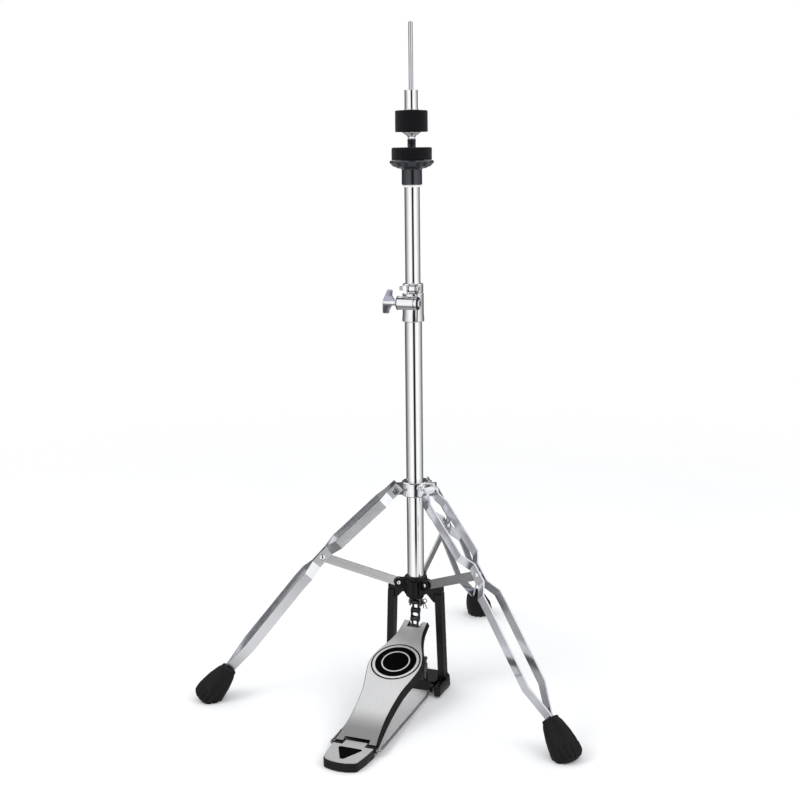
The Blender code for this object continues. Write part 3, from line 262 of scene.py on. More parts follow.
def brushed_painted_reflection_finish(name, ends, stops, metallic):
    """Brushed sheet: hair-fine lines along the board, and a slow change of grey between its ends that is a
    painted reflection, standing in for the light and dark bands that the plate reflects.
    """
    material, tree, shader = finish(name, metallic=metallic, anisotropy=0.3)
    along = object_coords(tree, (1.0, 0.035, 0.035), (BOARD_SLOPE, 0, 0))
    lines = grain(tree, along, 2200, 3, 0.6)
    broad = grain(tree, along, 420, 2, 0.5)
    coords = add_node(tree, "TexCoord")
    place = add_node(tree, "SeparateXYZ", links={"Vector": coords.outputs["Object"]}).outputs["Y"]
    painted_reflection = ramp_node(tree, spread(tree, place, 0.0, 1.0, *ends), stops, "B_SPLINE")
    streaks = spread(tree, lines, 0.90, 1.06, 0.3, 0.7)
    colour = add_node(tree, "VectorMath", links={0: painted_reflection, 1: streaks}, operation="MULTIPLY")
    roughness = spread(tree, broad, 0.30, 0.40)
    set_looks(tree, shader, colour.outputs["Vector"], roughness, bump(tree, lines, 0.05, 0.0002))
    return material


# Painted reflection: greys along the footboard's plate from its toe to its heel, shared by the badge's silver
# rings, standing in for the bands that the plate reflects.
BOARD_PAINTED_REFLECTION = (
    (0.0, 0.31), (0.10, 0.30), (0.15, 0.33), (0.21, 0.58), (0.27, 0.82),
    (0.48, 0.82), (0.65, 0.74), (0.80, 0.50), (0.88, 0.52), (1.0, 0.68),
)
# Painted reflection on the heel's plate: a lighter band across its middle, over the span given below.
HEEL_PAINTED_REFLECTION = ((0.0, 0.50), (0.5, 0.58), (1.0, 0.52))
HEEL_PAINTED_REFLECTION_SPAN = (-0.303, -0.246)

# Name: darker colour, lighter colour, roughness from and to, and what differs from the defaults.
METALS = {
    "chrome": ((0.90, 0.905, 0.915), (0.945, 0.95, 0.96), (0.030, 0.065), {}),
    "chrome_sheet": ((0.73, 0.74, 0.79), (0.81, 0.82, 0.87), (0.08, 0.12), {"pits": 0.01, "metallic": 0.92}),
    "rod_chrome": ((0.64, 0.64, 0.69), (0.72, 0.72, 0.77), (0.04, 0.07), {}),
    # Copies of the strip chrome for the left leg, painted lighter than the others as painted light, with the
    # rear strip's copy darker than the front's as painted shade.
    "satin_sheet_painted_light": ((0.90, 0.91, 0.95), (0.95, 0.96, 0.99), (0.23, 0.28), {"pits": 0.01}),
    "inner_sheet_painted_light_and_shade": ((0.82, 0.83, 0.87), (0.90, 0.91, 0.95), (0.13, 0.18), {"pits": 0.01}),
    "cast_chrome": ((0.82, 0.82, 0.85), (0.90, 0.90, 0.93), (0.06, 0.11), {"pits": 0.03}),
    # The wing's blades: chrome dimmed and tinted lavender, a painted reflection.
    "wing_chrome_painted_reflection": ((0.46, 0.475, 0.59), (0.54, 0.55, 0.66), (0.10, 0.16), {"pits": 0.03}),
    "stay_steel": ((0.80, 0.80, 0.81), (0.86, 0.86, 0.87), (0.22, 0.28), {}),
    # A darker copy of the stay steel for the right leg's stay: painted shade.
    "stay_painted_shade": ((0.40, 0.40, 0.41), (0.46, 0.46, 0.47), (0.20, 0.26), {}),
    "wire_steel": ((0.34, 0.335, 0.36), (0.44, 0.435, 0.46), (0.14, 0.22), {"pits": 0.03}),
    "zinc": ((0.50, 0.50, 0.51), (0.60, 0.60, 0.61), (0.26, 0.38), {"pits": 0.10}),
    "dark_steel": ((0.09, 0.09, 0.095), (0.17, 0.17, 0.18), (0.24, 0.40), {"pits": 0.08}),
    "blackened": ((0.030, 0.030, 0.033), (0.085, 0.085, 0.09), (0.22, 0.36), {"pits": 0.08}),
}
MOULDED = {
    "plastic": ((0.0045, 0.0068, 0.0120), (0.16, 0.24), {"coat": 0.1, "specular": 0.28}),
    "cup_plastic": ((0.0060, 0.0090, 0.0150), (0.14, 0.20), {"coat": 0.5, "texture": 0.03, "specular": 0.6}),
    "rubber": ((0.0042, 0.0042, 0.0048), (0.46, 0.60), {"texture": 0.30, "specular": 0.24}),
    "nylon": ((0.78, 0.78, 0.76), (0.34, 0.46), {}),
    "enamel": ((0.0004, 0.0004, 0.0006), (0.46, 0.56), {"texture": 0.02, "specular": 0.02}),
}
FINISH = {
    "casting": powder_coat("casting", (0.0018, 0.0019, 0.0023), (0.24, 0.34), 0.15, 0.22),
    "felt": felt_finish("felt"),
    "brushed": brushed_painted_reflection_finish("brushed", (low("footboard").y, high("footboard").y), BOARD_PAINTED_REFLECTION, 0.5),
    "brushed_heel_painted_reflection": brushed_painted_reflection_finish("brushed_heel_painted_reflection", HEEL_PAINTED_REFLECTION_SPAN, HEEL_PAINTED_REFLECTION, 0.4),
}
for look, (darker, lighter, rough, changes) in METALS.items():
    FINISH[look] = metal(look, darker, lighter, rough, **changes)
for look, (base, rough, changes) in MOULDED.items():
    FINISH[look] = moulded(look, base, rough, **changes)

# ---------------------------------------------------------------- shapes: (points, faces)


def rounded(corners, closed=True, steps=4):
    """Corners of (a, b, radius), each corner with a radius drawn as an arc."""
    points = []
    count = len(corners)
    for i, (a, b, radius) in enumerate(corners):
        here = Vector((a, b))
        end = not closed and i in (0, count - 1)
        back = Vector(corners[i - 1][:2]) - here
        ahead = Vector(corners[(i + 1) % count][:2]) - here
        if end or radius == 0 or back.length < 1e-7 or ahead.length < 1e-7:
            points.append((a, b))
            continue
        back.normalize()
        ahead.normalize()
        half = back.angle(ahead) / 2
        if half > math.radians(88):
            points.append((a, b))
            continue
        centre = here + (back + ahead).normalized() * (radius / math.sin(half))
        first = here + back * (radius / math.tan(half)) - centre
        last = here + ahead * (radius / math.tan(half)) - centre
        sweep = first.angle_signed(last)
        for k in range(steps + 1):
            points.append(tuple(centre + Matrix.Rotation(-sweep * k / steps, 2) @ first))
    return points


def loft(rings, closed=False):
    """Quads between rings of points. An open run of rings is capped at both ends."""
    count, around = len(rings), len(rings[0])
    points = [tuple(p) for ring in rings for p in ring]
    faces = []
    for a in range(count if closed else count - 1):
        b = (a + 1) % count
        for k in range(around):
            j = (k + 1) % around
            faces.append((a * around + k, a * around + j, b * around + j, b * around + k))
    if not closed:
        faces.append(tuple(range(around)))
        faces.append(tuple((count - 1) * around + k for k in range(around)))
    return points, faces


def lathe(corners, bored=False, steps=STEPS, ripple=None, fine=4):
    """Corners of (radius, z, fillet) turned about Z. A bored profile closes on itself round its hole."""
    profile = rounded(corners, bored, fine)
    rings = []
    for radius, z in profile:
        ring = []
        for k in range(steps):
            angle = 2 * math.pi * k / steps
            r = radius + (ripple(angle, radius, z) if ripple else 0.0)
            ring.append((r * math.cos(angle), r * math.sin(angle), z))
        rings.append(ring)
    return loft(rings, bored)


def rod(start, end, radius, fillet=0.0003, steps=32):
    """A round bar with chamfered ends."""
    start, end = Vector(start), Vector(end)
    length = (end - start).length
    tip, shoulder = radius - fillet, length - fillet
    corners = [(tip, 0, 0), (radius, fillet, 0), (radius, shoulder, 0), (tip, length, 0)]
    return placed(lathe(corners, steps=steps), Matrix.Translation(start) @ axis_turn(end - start))


def sweep(path, radius, around=12, closed=False):
    """A round wire along a path."""
    path = [Vector(p) for p in path]
    count = len(path)
    rings = []
    side = None
    for i, here in enumerate(path):
        before = path[i - 1] if i or closed else here
        after = path[(i + 1) % count] if i < count - 1 or closed else here
        along = (after - before).normalized()
        if side is None:
            side = along.orthogonal().normalized()
        side = (side - along * side.dot(along)).normalized()
        up = along.cross(side)
        rings.append([
            here + radius * (math.cos(a) * side + math.sin(a) * up)
            for a in (2 * math.pi * k / around for k in range(around))
        ])
    return loft(rings, closed)


def prism(outline, bottom, top):
    """An outline of (x, y) raised from bottom to top."""
    count = len(outline)
    points = [(x, y, z) for z in (bottom, top) for x, y in outline]
    faces = [tuple(range(count)), tuple(range(count, 2 * count))]
    faces += [(k, (k + 1) % count, count + (k + 1) % count, count + k) for k in range(count)]
    return points, faces


def placed(shape, matrix):
    points, faces = shape
    return [tuple(matrix @ Vector(p)) for p in points], faces


def across(place, direction=(1, 0, 0)):
    """Lays a shape drawn about Z along a direction, from a place."""
    return Matrix.Translation(place) @ axis_turn(direction)


def build(name, shapes, matrix=None):
    mesh = bmesh.new()
    for points, faces in shapes:
        made = [mesh.verts.new(p) for p in points]
        for face in faces:
            mesh.faces.new([made[k] for k in face])
    bmesh.ops.recalc_face_normals(mesh, faces=mesh.faces)
    if matrix is not None:
        bmesh.ops.transform(mesh, matrix=matrix, verts=mesh.verts)
    data = bpy.data.meshes.new(name)
    mesh.to_mesh(data)
    mesh.free()
    data.shade_smooth()
    obj = bpy.data.objects.new(name, data)
    bpy.context.scene.collection.objects.link(obj)
    return obj


def weigh_normals(obj):
    even = obj.modifiers.new("Even normals", "WEIGHTED_NORMAL")
    even.mode = "FACE_AREA"
    even.weight = 60


def round_edges(obj, width, angle=28, segments=2):
    edge = obj.modifiers.new("Edges", "BEVEL")
    edge.width = width
    edge.segments = segments
    edge.limit_method = "ANGLE"
    edge.angle_limit = math.radians(angle)
    edge.use_clamp_overlap = True


def add_piece(name, shapes, body, look, node=None, matrix=None, bevel=0.0, plain_normals=False):
    """A new piece of the object, riding on its body, and standing for a CAD node if one is named."""
    obj = build(name, shapes, matrix)
    if bevel:
        round_edges(obj, bevel)
    if not plain_normals:
        weigh_normals(obj)
    return settle(obj, body, look, node)


def settle(obj, body, look, node=None):
    obj.data.materials.clear()
    obj.data.materials.append(FINISH[look])
    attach(obj, body)
    if node:
        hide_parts(*([node] if isinstance(node, str) else node))
    return obj


def dress(node, look, bevel=0.0004, angle=28, segments=2):
    """Keeps a CAD solid, rounds its edges and gives it its finish."""
    obj = NODES[node]
    for k in range(len(obj.material_slots)):
        obj.material_slots[k].link = "OBJECT"
        obj.material_slots[k].material = FINISH[look]
    weld = obj.modifiers.new("Weld", "WELD")
    weld.merge_threshold = WELD_DISTANCE
    flatten = obj.modifiers.new("Flat faces", "DECIMATE")
    flatten.decimate_type = "DISSOLVE"
    flatten.angle_limit = math.radians(0.6)
    if bevel:
        round_edges(obj, bevel, angle, segments)
    weigh_normals(obj)
    return obj


def copy_of(node, name):
    """A free copy of a CAD solid's mesh, welded and without its stored normals."""
    mesh = bmesh.new()
    mesh.from_mesh(NODES[node].data)
    bmesh.ops.remove_doubles(mesh, verts=mesh.verts, dist=WELD_DISTANCE)
    data = bpy.data.meshes.new(name)
    mesh.to_mesh(data)
    mesh.free()
    for layer in ("custom_normal", "sharp_edge"):
        if layer in data.attributes:
            data.attributes.remove(data.attributes[layer])
    obj = bpy.data.objects.new(name, data)
    bpy.context.scene.collection.objects.link(obj)
    return obj


def remeshed(node, name, voxel, smoothing):
    """A casting's softened skin: the solid is refilled with voxels, then smoothed."""
    obj = copy_of(node, name)
    skin = obj.modifiers.new("Skin", "REMESH")
    skin.mode = "VOXEL"
    skin.voxel_size = voxel
    soft = obj.modifiers.new("Soft", "SMOOTH")
    soft.factor = 0.5
    soft.iterations = smoothing
    graph = bpy.context.evaluated_depsgraph_get()
    data = bpy.data.meshes.new_from_object(obj.evaluated_get(graph))
    obj.modifiers.clear()
    obj.data = data
    data.shade_smooth()
    return obj


# ---------------------------------------------------------------- tower


def make_tubes():
    for node, body in (("lower_tube", "frame"), ("upper_tube", "height")):
        r, bottom, top = high(node).x, low(node).z, high(node).z
        bore = r - TUBE_WALL
        corners = [(r, top, TUBE_RIM), (r, bottom, TUBE_RIM), (bore, bottom, TUBE_RIM), (bore, top, TUBE_RIM)]
        add_piece(node + "_chrome", [lathe(corners, True)], body, "chrome", node)


def make_clamp():
    dress("clamp_body", "cast_chrome", 0.0005)
    dress("clamp_bushing", "nylon", 0.0002)
    y, z, left, right = BARREL_Y, BARREL_Z, BARREL_X[0], BARREL_X[1]
    washer = [(0.0103, 0, 0.0003), (0.0103, 0.0013, 0.0004), (0.0044, 0.0013, 0), (0.0044, 0, 0)]
    washer = placed(lathe(washer, True, 64), across((left - 0.0014, y, z)))
    add_piece("clamp_washer", [washer], "frame", "plastic")
    seat = [
        (0.0092, 0, 0.0003), (0.0092, 0.0008, 0.0004), (0.0070, 0.0010, 0.0003),
        (0.0040, 0.0006, 0), (0.0040, 0, 0),
    ]
    seat = placed(lathe(seat, True, 64), across((right, y, z)))
    add_piece("clamp_bolt_seat", [seat], "frame", "plastic")
    head = [(0.0062, 0, 0), (0.0062, 0.0014, 0.0006), (0.0046, 0.0024, 0.0008), (0.0006, 0.0026, 0)]
    head = placed(lathe(head, steps=6), across((right + 0.0007, y, z)))
    add_piece("clamp_bolt_head", [head], "frame", "cast_chrome", bevel=0.0004, plain_normals=True)

    tip = left - WING_HUB_LENGTH
    shank_end = right - tip - 0.0020
    hub = [
        (0.0010, 0, 0), (0.0036, 0.0003, 0.0010), (0.0040, 0.0030, 0.0010), (0.0042, 0.0180, 0.0020),
        (0.0050, WING_HUB_LENGTH - 0.0020, 0.0006), (0.0050, WING_HUB_LENGTH - 0.0012, 0.0004),
        (0.0029, WING_HUB_LENGTH - 0.0012, 0.0002), (0.0029, shank_end, 0.0004), (0.0005, shank_end, 0),
    ]
    hub = placed(lathe(hub, steps=64), across((tip, y, z)))
    add_piece("wing_screw_turned", [hub], "wing_screw", "cast_chrome", "clamp_wing_screw")
    wing = rounded([
        (-0.0392, 0.0040, 0.001), (-0.0300, 0.0200, 0.0020), (-0.0222, 0.0196, 0.0018),
        (-0.0245, 0.0105, 0.0040), (-0.0205, 0.0020, 0.001), (-0.0250, -0.0020, 0.001),
        (-0.0318, -0.0118, 0.0030), (-0.0335, -0.0168, 0.0015), (-0.0428, -0.0165, 0.0015),
        (-0.0400, -0.0040, 0.001),
    ], True, 5)
    blades = placed(bladed(wing, 0.0017), Matrix.Translation((0, y, z)))
    # The blades' dim lavender colour is a painted reflection.
    add_piece("wing_screw_blade", [blades], "wing_screw", "wing_chrome_painted_reflection", bevel=0.0008, plain_normals=True)


def bladed(outline, half):
    """The wing's blades: cut in rows along Z, each leaning off the hub, thinner towards its end."""
    row, hub_half, reach = 0.0011, 0.0036, 0.0160
    lean_up, lean_down, taper = 0.36, -0.52, 0.45
    mesh = bmesh.new()
    made = [mesh.verts.new((x, 0, z)) for x, z in outline]
    mesh.faces.new(made)
    for k in range(-15, 19):
        everything = mesh.verts[:] + mesh.edges[:] + mesh.faces[:]
        bmesh.ops.bisect_plane(mesh, geom=everything, plane_co=(0, 0, row * k), plane_no=(0, 0, 1))
    points, faces = [], []
    count = len(mesh.verts)
    mesh.verts.index_update()
    for side in (-1, 1):
        for vertex in mesh.verts:
            x, z = vertex.co.x, vertex.co.z
            free = max(abs(z) - hub_half, 0.0)
            lean = free * (lean_up if z > 0 else lean_down)
            thick = half * (1.0 - taper * min(free / reach, 1.0))
            points.append((x, side * thick - lean, z))
    for face in mesh.faces:
        ring = [vertex.index for vertex in face.verts]
        faces.append(tuple(ring))
        faces.append(tuple(count + k for k in reversed(ring)))
    for edge in mesh.edges:
        if len(edge.link_faces) == 1:
            a, b = (vertex.index for vertex in edge.verts)
            faces.append((a, b, count + b, count + a))
    mesh.free()
    return points, faces


def make_memory_lock():
    dress("memory_lock", "cast_chrome", 0.0006)
    dress("memory_key_bolt", "wire_steel", 0.0004)
    y, z = low("memory_lock").y + 0.0066, middle("memory_key_bolt").z
    band_z = z - 0.0006
    band = [(0.0071, 0, 0.0003), (0.0071, 0.0016, 0.0005), (0.0060, 0.0016, 0), (0.0060, 0, 0)]
    bands = [placed(lathe(band, True, 64), across((x, y, band_z))) for x in (0.0014, 0.0118)]
    add_piece("memory_lock_band", bands, "memory_lock", "plastic")
    nut = [(0.0046, 0, 0), (0.0046, 0.0014, 0.0004), (0.0036, 0.0022, 0.0004), (0.0006, 0.0024, 0)]
    nut = placed(lathe(nut, steps=6), across((0.0139, y, z)))
    add_piece("memory_lock_nut", [nut], "memory_lock", "cast_chrome", bevel=0.0003, plain_normals=True)


def make_seat():
    dress("tube_top_ring", "nylon", 0.0003)
    rim, neck, top, bottom = SEAT_RIM_Z, SEAT_NECK_Z, high("seat_cup").z, low("seat_cup").z
    stem, bore, socket_r, shoulder = 0.0062, 0.0036, 0.0114, SEAT_SHOULDER_Z

    def scallop(angle, radius, z):
        """Hollows between the petals, fading out at the neck and just under the rim."""
        off_neck = min(max((radius - 0.0190) / 0.0060, 0.0), 1.0)
        off_rim = min(max((rim - 0.0010 - z) / 0.0030, 0.0), 1.0)
        wave = 0.5 - 0.5 * math.cos(SEAT_PETALS * (angle - SEAT_PETAL_TURN))
        return -SEAT_PETAL_DEPTH * off_neck * off_rim * wave ** 2

    corners = [
        (stem + 0.0002, rim + 0.0004, 0.0002), (0.0306, rim, 0.0006), (0.0322, rim - 0.0024, 0.0008),
        (0.0298, rim - 0.0052, 0.0010), (0.0266, rim - 0.0084, 0.0012), (0.0236, rim - 0.0092, 0.0012),
        (0.0200, rim - 0.0110, 0.0012), (0.0156, neck - 0.0002, 0.0006), (0.0146, neck - 0.0014, 0.0006),
        (0.0148, bottom, 0.0010), (socket_r, bottom, 0.0003), (socket_r, shoulder, 0), (bore, shoulder, 0),
        (bore, rim, 0), (bore + 0.0014, rim, 0), (bore + 0.0014, rim + 0.0004, 0),
    ]
    add_piece("seat_cup_moulding", [lathe(corners, True, 160, scallop)], "height", "cup_plastic", "seat_cup")
    corners = [(stem - 0.0010, top, 0.0002), (stem, top - 0.0010, 0.0002)]
    pitch, level = 0.0020, top - 0.0020
    while level > rim + 0.0030:
        corners += [(stem, level, 0.0002), (stem - 0.0005, level - pitch * 0.5, 0.0002)]
        level -= pitch
    foot = rim - 0.0010
    corners += [(stem, rim + 0.0010, 0), (stem, foot, 0), (bore, foot, 0), (bore, top, 0.0004)]
    add_piece("seat_stem_threaded", [lathe(corners, True, 64)], "height", "cup_plastic")


def felt_rings(outer, inner, bottom, top, fillets, seed, sag, steps=150):
    """A pressed felt washer: crowned edges, a slow wobble, and matted fibre at the skin."""
    stride, bore_skin, mat_depth, fuzz_depth = 0.0011, 0.0008, 0.00018, 0.00010
    slow, matted, fibrous, height_weight = 90, 480, 1500, 1.6
    corners = rounded([
        (outer, top, fillets[1]), (outer, bottom, fillets[0]), (inner, bottom, 0.0004), (inner, top, 0.0004),
    ], True, 6)
    profile = []
    for (r0, z0), (r1, z1) in zip(corners, corners[1:] + corners[:1]):
        pieces = max(1, round(math.hypot(r1 - r0, z1 - z0) / stride))
        profile += [(r0 + (r1 - r0) * k / pieces, z0 + (z1 - z0) * k / pieces) for k in range(pieces)]
    centre = ((outer + inner) / 2, (top + bottom) / 2)
    rings = []
    for radius, z in profile:
        out = Vector((radius - centre[0], (z - centre[1]) * height_weight)).normalized()
        ring = []
        for k in range(steps):
            a = 2 * math.pi * k / steps
            here = Vector((radius * math.cos(a), radius * math.sin(a), z))
            shift = 0.0
            if radius > inner + bore_skin:
                soft = noise.noise(here * slow + Vector((seed, 0, 0)))
                mat = noise.noise(here * matted + Vector((0, seed, 0)))
                fuzz = noise.noise(here * fibrous + Vector((0, 0, seed)))
                shift = -sag * abs(soft) - mat_depth * abs(mat) - fuzz_depth * abs(fuzz)
            r, level = radius + out.x * shift, z + out.y * shift
            ring.append((r * math.cos(a), r * math.sin(a), level))
        rings.append(ring)
    return loft(rings, True)


def make_felts():
    """The seat's felt, and the clutch's two, of which the lower is pressed into the upper one."""
    for node, body, bore, pressed, fillets, seed, sag in (
        ("seat_felt", "height", 0.0066, 0.0, (0.0012, 0.0022), 3.1, 0.0006),
        ("clutch_lower_felt", "clutch", 0.0060, 0.0009, (0.0012, 0.0001), 11.7, 0.0001),
        ("clutch_upper_felt", "clutch", 0.0060, 0.0, (0.0001, 0.0018), 23.3, 0.0003),
    ):
        shape = felt_rings(high(node).x, bore, low(node).z, high(node).z + pressed, fillets, seed, sag)
        add_piece(node + "_wool", [shape], body, "felt", node, plain_normals=True)


def knurling(teeth, depth, from_radius):
    """Ripple for a lathe: rounded teeth on whatever lies beyond a radius."""
    def ripple(angle, radius, _):
        return -depth * (0.5 - 0.5 * math.cos(teeth * angle)) if radius > from_radius else 0.0
    return ripple


def make_clutch():
    bottom, top = low("clutch_tube").z, high("clutch_tube").z
    felt_top = high("clutch_upper_felt").z
    flange, flange_top = felt_top + 0.0003, felt_top + 0.0015
    r, flange_r, bore, thread = 0.0095, 0.0105, 0.0036, 0.0055
    corners = [
        (r, top, 0.0009), (r, flange_top, 0.0003), (flange_r, flange_top, 0.0004), (flange_r, flange, 0.0003),
        (thread, flange, 0), (thread, bottom, 0.0004), (bore, bottom, 0.0002), (bore, top, 0.0006),
    ]
    add_piece("clutch_tube_chrome", [lathe(corners, True)], "clutch", "chrome", "clutch_tube")

    bottom, top = low("clutch_nut").z, high("clutch_nut").z
    corners = [
        (0.0128, top, 0.0003), (0.0128, top - 0.0012, 0.0003), (0.0104, top - 0.0020, 0.0003),
        (0.0098, top - 0.0024, 0.0002), (0.0098, top - 0.0032, 0.0003), (0.0076, top - 0.0042, 0.0003),
        (0.0068, top - 0.0045, 0.0002), (0.0068, top - 0.0053, 0.0003), (0.0056, top - 0.0062, 0.0004),
        (0.0052, bottom, 0.0004), (0.0037, bottom, 0.0002), (0.0037, top, 0.0002),
    ]
    nut = lathe(corners, True, 240, knurling(30, 0.0004, 0.0124))
    add_piece("clutch_nut_chrome", [nut], "clutch_nut", "chrome", "clutch_nut")

    out = Vector((math.cos(CLUTCH_SCREW_ANGLE), math.sin(CLUTCH_SCREW_ANGLE), 0))
    level = Vector((0, 0, middle("clutch_lock_screw").z))
    head = [(0.0044, 0, 0), (0.0044, 0.0020, 0.0006), (0.0030, 0.0034, 0.0004), (0.0026, 0.0036, 0)]
    head = placed(lathe(head, steps=40), across(level + out * 0.0098, out))
    half, soft = 0.0025, 0.0004
    square = [(-half, -half, soft), (half, -half, soft), (half, half, soft), (-half, half, soft)]
    square = placed(prism(rounded(square, True, 2), 0.0110, 0.0200), across(level, out))
    shank = rod(level + out * 0.0040, level + out * 0.0115, 0.0020)
    add_piece("clutch_lock_key_screw", [shank, head, square], "clutch_screw", "cast_chrome",
              "clutch_lock_screw", bevel=0.0003)


# ---------------------------------------------------------------- pull rod, spring and chain


def make_pull_rod():
    node = "upper_pull_rod"
    r, bottom, top = high(node).x, low(node).z, high(node).z
    corners = [(r, bottom, 0), (r, top - 0.0010, 0.0003), (r - 0.0010, top, 0.0002), (0.0004, top, 0)]
    add_piece(node + "_chrome", [lathe(corners, steps=64)], "rod", "rod_chrome", node)
    dress("lower_pull_rod", "zinc", 0.0003)
    dress("rod_clevis", "dark_steel", 0.0005)
    dress("clevis_pin", "dark_steel", 0.0003)
    dress("toe_pin", "dark_steel", 0.0003)
    x, z = high("clevis_pin").x - 0.0016, CLEVIS_PIN_Z
    hairpin = rounded([
        (x, z - 0.0085, 0), (x, z + 0.0050, 0.0016), (x + 0.0036, z + 0.0078, 0.0022),
        (x + 0.0062, z + 0.0030, 0.0022), (x + CLEVIS_PIN_R + 0.0004, z - 0.0002, 0.0016),
        (x + 0.0044, z - 0.0062, 0.0012), (x + 0.0062, z - 0.0088, 0),
    ], False, 6)
    clip = sweep([(a, 0.0, b) for a, b in hairpin], 0.0007, 10)
    add_piece("clevis_hairpin_clip", [clip], "rod", "dark_steel")


def make_spring():
    bottom, top = low("return_spring").z + SPRING_WIRE_R, high("return_spring").z - SPRING_WIRE_R
    steps = SPRING_TURNS * 40
    path = []
    for i in range(steps + 1):
        t = i / steps
        turn = 2 * math.pi * SPRING_TURNS * t
        path.append((SPRING_R * math.cos(turn), SPRING_R * math.sin(turn), bottom + (top - bottom) * t))
    coil = sweep(path, SPRING_WIRE_R, 12)
    spring = add_piece("return_spring_wire", [coil], "frame", "dark_steel", "return_spring")
    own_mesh(spring)


def make_adjuster():
    bottom, top = low("spring_adjuster").z, high("spring_adjuster").z
    corners = [
        (0.0108, top, 0.0002), (0.0108, bottom + 0.0068, 0.0004), (0.0120, bottom + 0.0060, 0.0005),
        (0.0120, bottom + 0.0008, 0.0006), (0.0108, bottom, 0.0004), (0.0066, bottom, 0.0006),
        (0.0066, top, 0),
    ]
    knob = lathe(corners, True, 216, knurling(36, 0.0005, 0.0113))
    add_piece("spring_adjuster_knob", [knob], "adjuster", "casting", "spring_adjuster")


def link_outline(end_r, waist_r, steps=14):
    """A chain plate: two round ends of 240 degrees each, one pitch apart, and a waist between them."""
    points = []
    for centre, start in ((0.0, -30), (-CHAIN_PITCH, 150)):
        for k in range(steps + 1):
            a = math.radians(start + 240 * k / steps)
            points.append((end_r * math.cos(a), centre + end_r * math.sin(a), 0.0))
        side = -1 if centre == 0.0 else 1
        points.append((side * waist_r, -CHAIN_PITCH / 2, 0.0022))
    return rounded(points, True, 5)


def make_chain():
    lean = math.asin(-TOE_PIN_Y / (CHAIN_PITCH * CHAIN_LINKS))
    tilt = Matrix.Translation((0, 0, CLEVIS_PIN_Z)) @ Matrix.Rotation(-lean, 4, "X")
    flat = Matrix.Rotation(math.radians(90), 4, "Y") @ Matrix.Rotation(math.radians(90), 4, "Z")
    inner_x, outer_x, plate_half = 0.0042, 0.0059, 0.0006
    plate = prism(link_outline(0.0051, 0.0033), -plate_half, plate_half)
    roller = [(0.0039, -0.0036, 0.0004), (0.0039, 0.0036, 0.0004), (0.0024, 0.0036, 0), (0.0024, -0.0036, 0)]
    roller = lathe(roller, True, 40)
    pin_r, pin_reach = 0.0021, Vector((0.0073, 0, 0))
    plates, rollers = [], []
    for k in range(CHAIN_LINKS):
        at = inner_x if k % 2 == 0 else outer_x
        for side in (-1, 1):
            move = tilt @ Matrix.Translation((side * at, 0, -k * CHAIN_PITCH)) @ flat
            plates.append(placed(plate, move))
    for k in range(CHAIN_LINKS + 1):
        centre = Vector((0, 0, -k * CHAIN_PITCH))
        rollers.append(placed(roller, tilt @ across(centre)))
        if 0 < k < CHAIN_LINKS:
            rollers.append(placed(rod(centre - pin_reach, centre + pin_reach, pin_r, 0.0005), tilt))
    add_piece("roller_chain", plates + rollers, "chain", "blackened", "chain", bevel=0.00025)


# ---------------------------------------------------------------- frame


def make_frame():
    head = remeshed("frame_head", "frame_head_casting", 0.0007, 5)
    settle(head, "frame", "casting", "frame_head")
    for side in ("left", "right"):
        dress(side + "_upright", "casting", 0.0009, 30, 3)
    dress("base_plate", "casting", 0.0007, 30, 3)
    for leg in LEG_ANGLES:
        make_pin(leg)
    for side in ("left", "right"):
        make_spur(side)


def make_pin(leg):
    node = leg + "_stay_pin"
    turn = leg_turn(leg)
    r, z = STAY_PIN
    pin_r, half_length, dome_at = 0.0029, 0.0056, 0.0054
    dome = [(0.0031, 0, 0), (0.0031, 0.0003, 0.0002), (0.0022, 0.0010, 0.0006), (0.0004, 0.0013, 0)]
    shapes = [placed(rod((r, -half_length, z), (r, half_length, z), pin_r, 0.0005, 40), turn)]
    for side in (-1, 1):
        end = across((r, side * dome_at, z), (0, side, 0))
        shapes.append(placed(lathe(dome, steps=40), turn @ end))
    add_piece(node + "_chrome", shapes, "frame", "chrome", node)


def make_spur(side):
    node = side + "_spur_screw"
    x, y, top = middle(node).x, middle(node).y, high(node).z
    thread, root, thread_end = 0.0030, 0.0026, 0.0065
    corners = [
        (0.0006, top, 0), (0.0024, top - 0.0006, 0.0006), (0.0029, top - 0.0020, 0.0004),
        (0.0029, top - 0.0042, 0.0004), (0.0018, top - 0.0058, 0.0004), (0.0018, top - 0.0098, 0.0004),
        (thread, top - 0.0112, 0.0003),
    ]
    level, pitch = top - 0.0125, 0.0012
    while level > thread_end:
        corners += [(thread, level, 0), (root, level - pitch / 2, 0)]
        level -= pitch
    corners += [(thread, 0.0050, 0.0004), (0.0005, low(node).z, 0)]
    add_piece(node + "_turned", [lathe(corners, steps=40)], side + "_spur", "dark_steel", node,
              Matrix.Translation((x, y, 0)))


def make_radius_rod():
    r, bend = 0.00175, 0.0060
    inner, x, end_y = 0.0340, 0.0372, -0.0290
    corners = [
        (-inner, end_y, 0), (-inner, end_y - 0.012, 0.012), (-x, end_y - 0.026, 0.012), (-x, HINGE_Y, bend),
        (x, HINGE_Y, bend), (x, end_y - 0.026, 0.012), (inner, end_y - 0.012, 0.012), (inner, end_y, 0),
    ]
    path = [(a, b, HINGE_Z) for a, b in rounded(corners, False, 10)]
    add_piece("radius_rod_wire", [sweep(path, r, 20)], "frame", "wire_steel", "radius_rod")


# ---------------------------------------------------------------- pedal


def disc(outer, inner, bottom, top, fillet):
    """A flat disc, or a ring where it has an inner radius."""
    edge = [(outer, bottom, 0), (outer, top, fillet)]
    if inner:
        return lathe(edge + [(inner, top, fillet), (inner, bottom, 0)], True, 128)
    return lathe(edge + [(0.0005, top, 0)], steps=128)


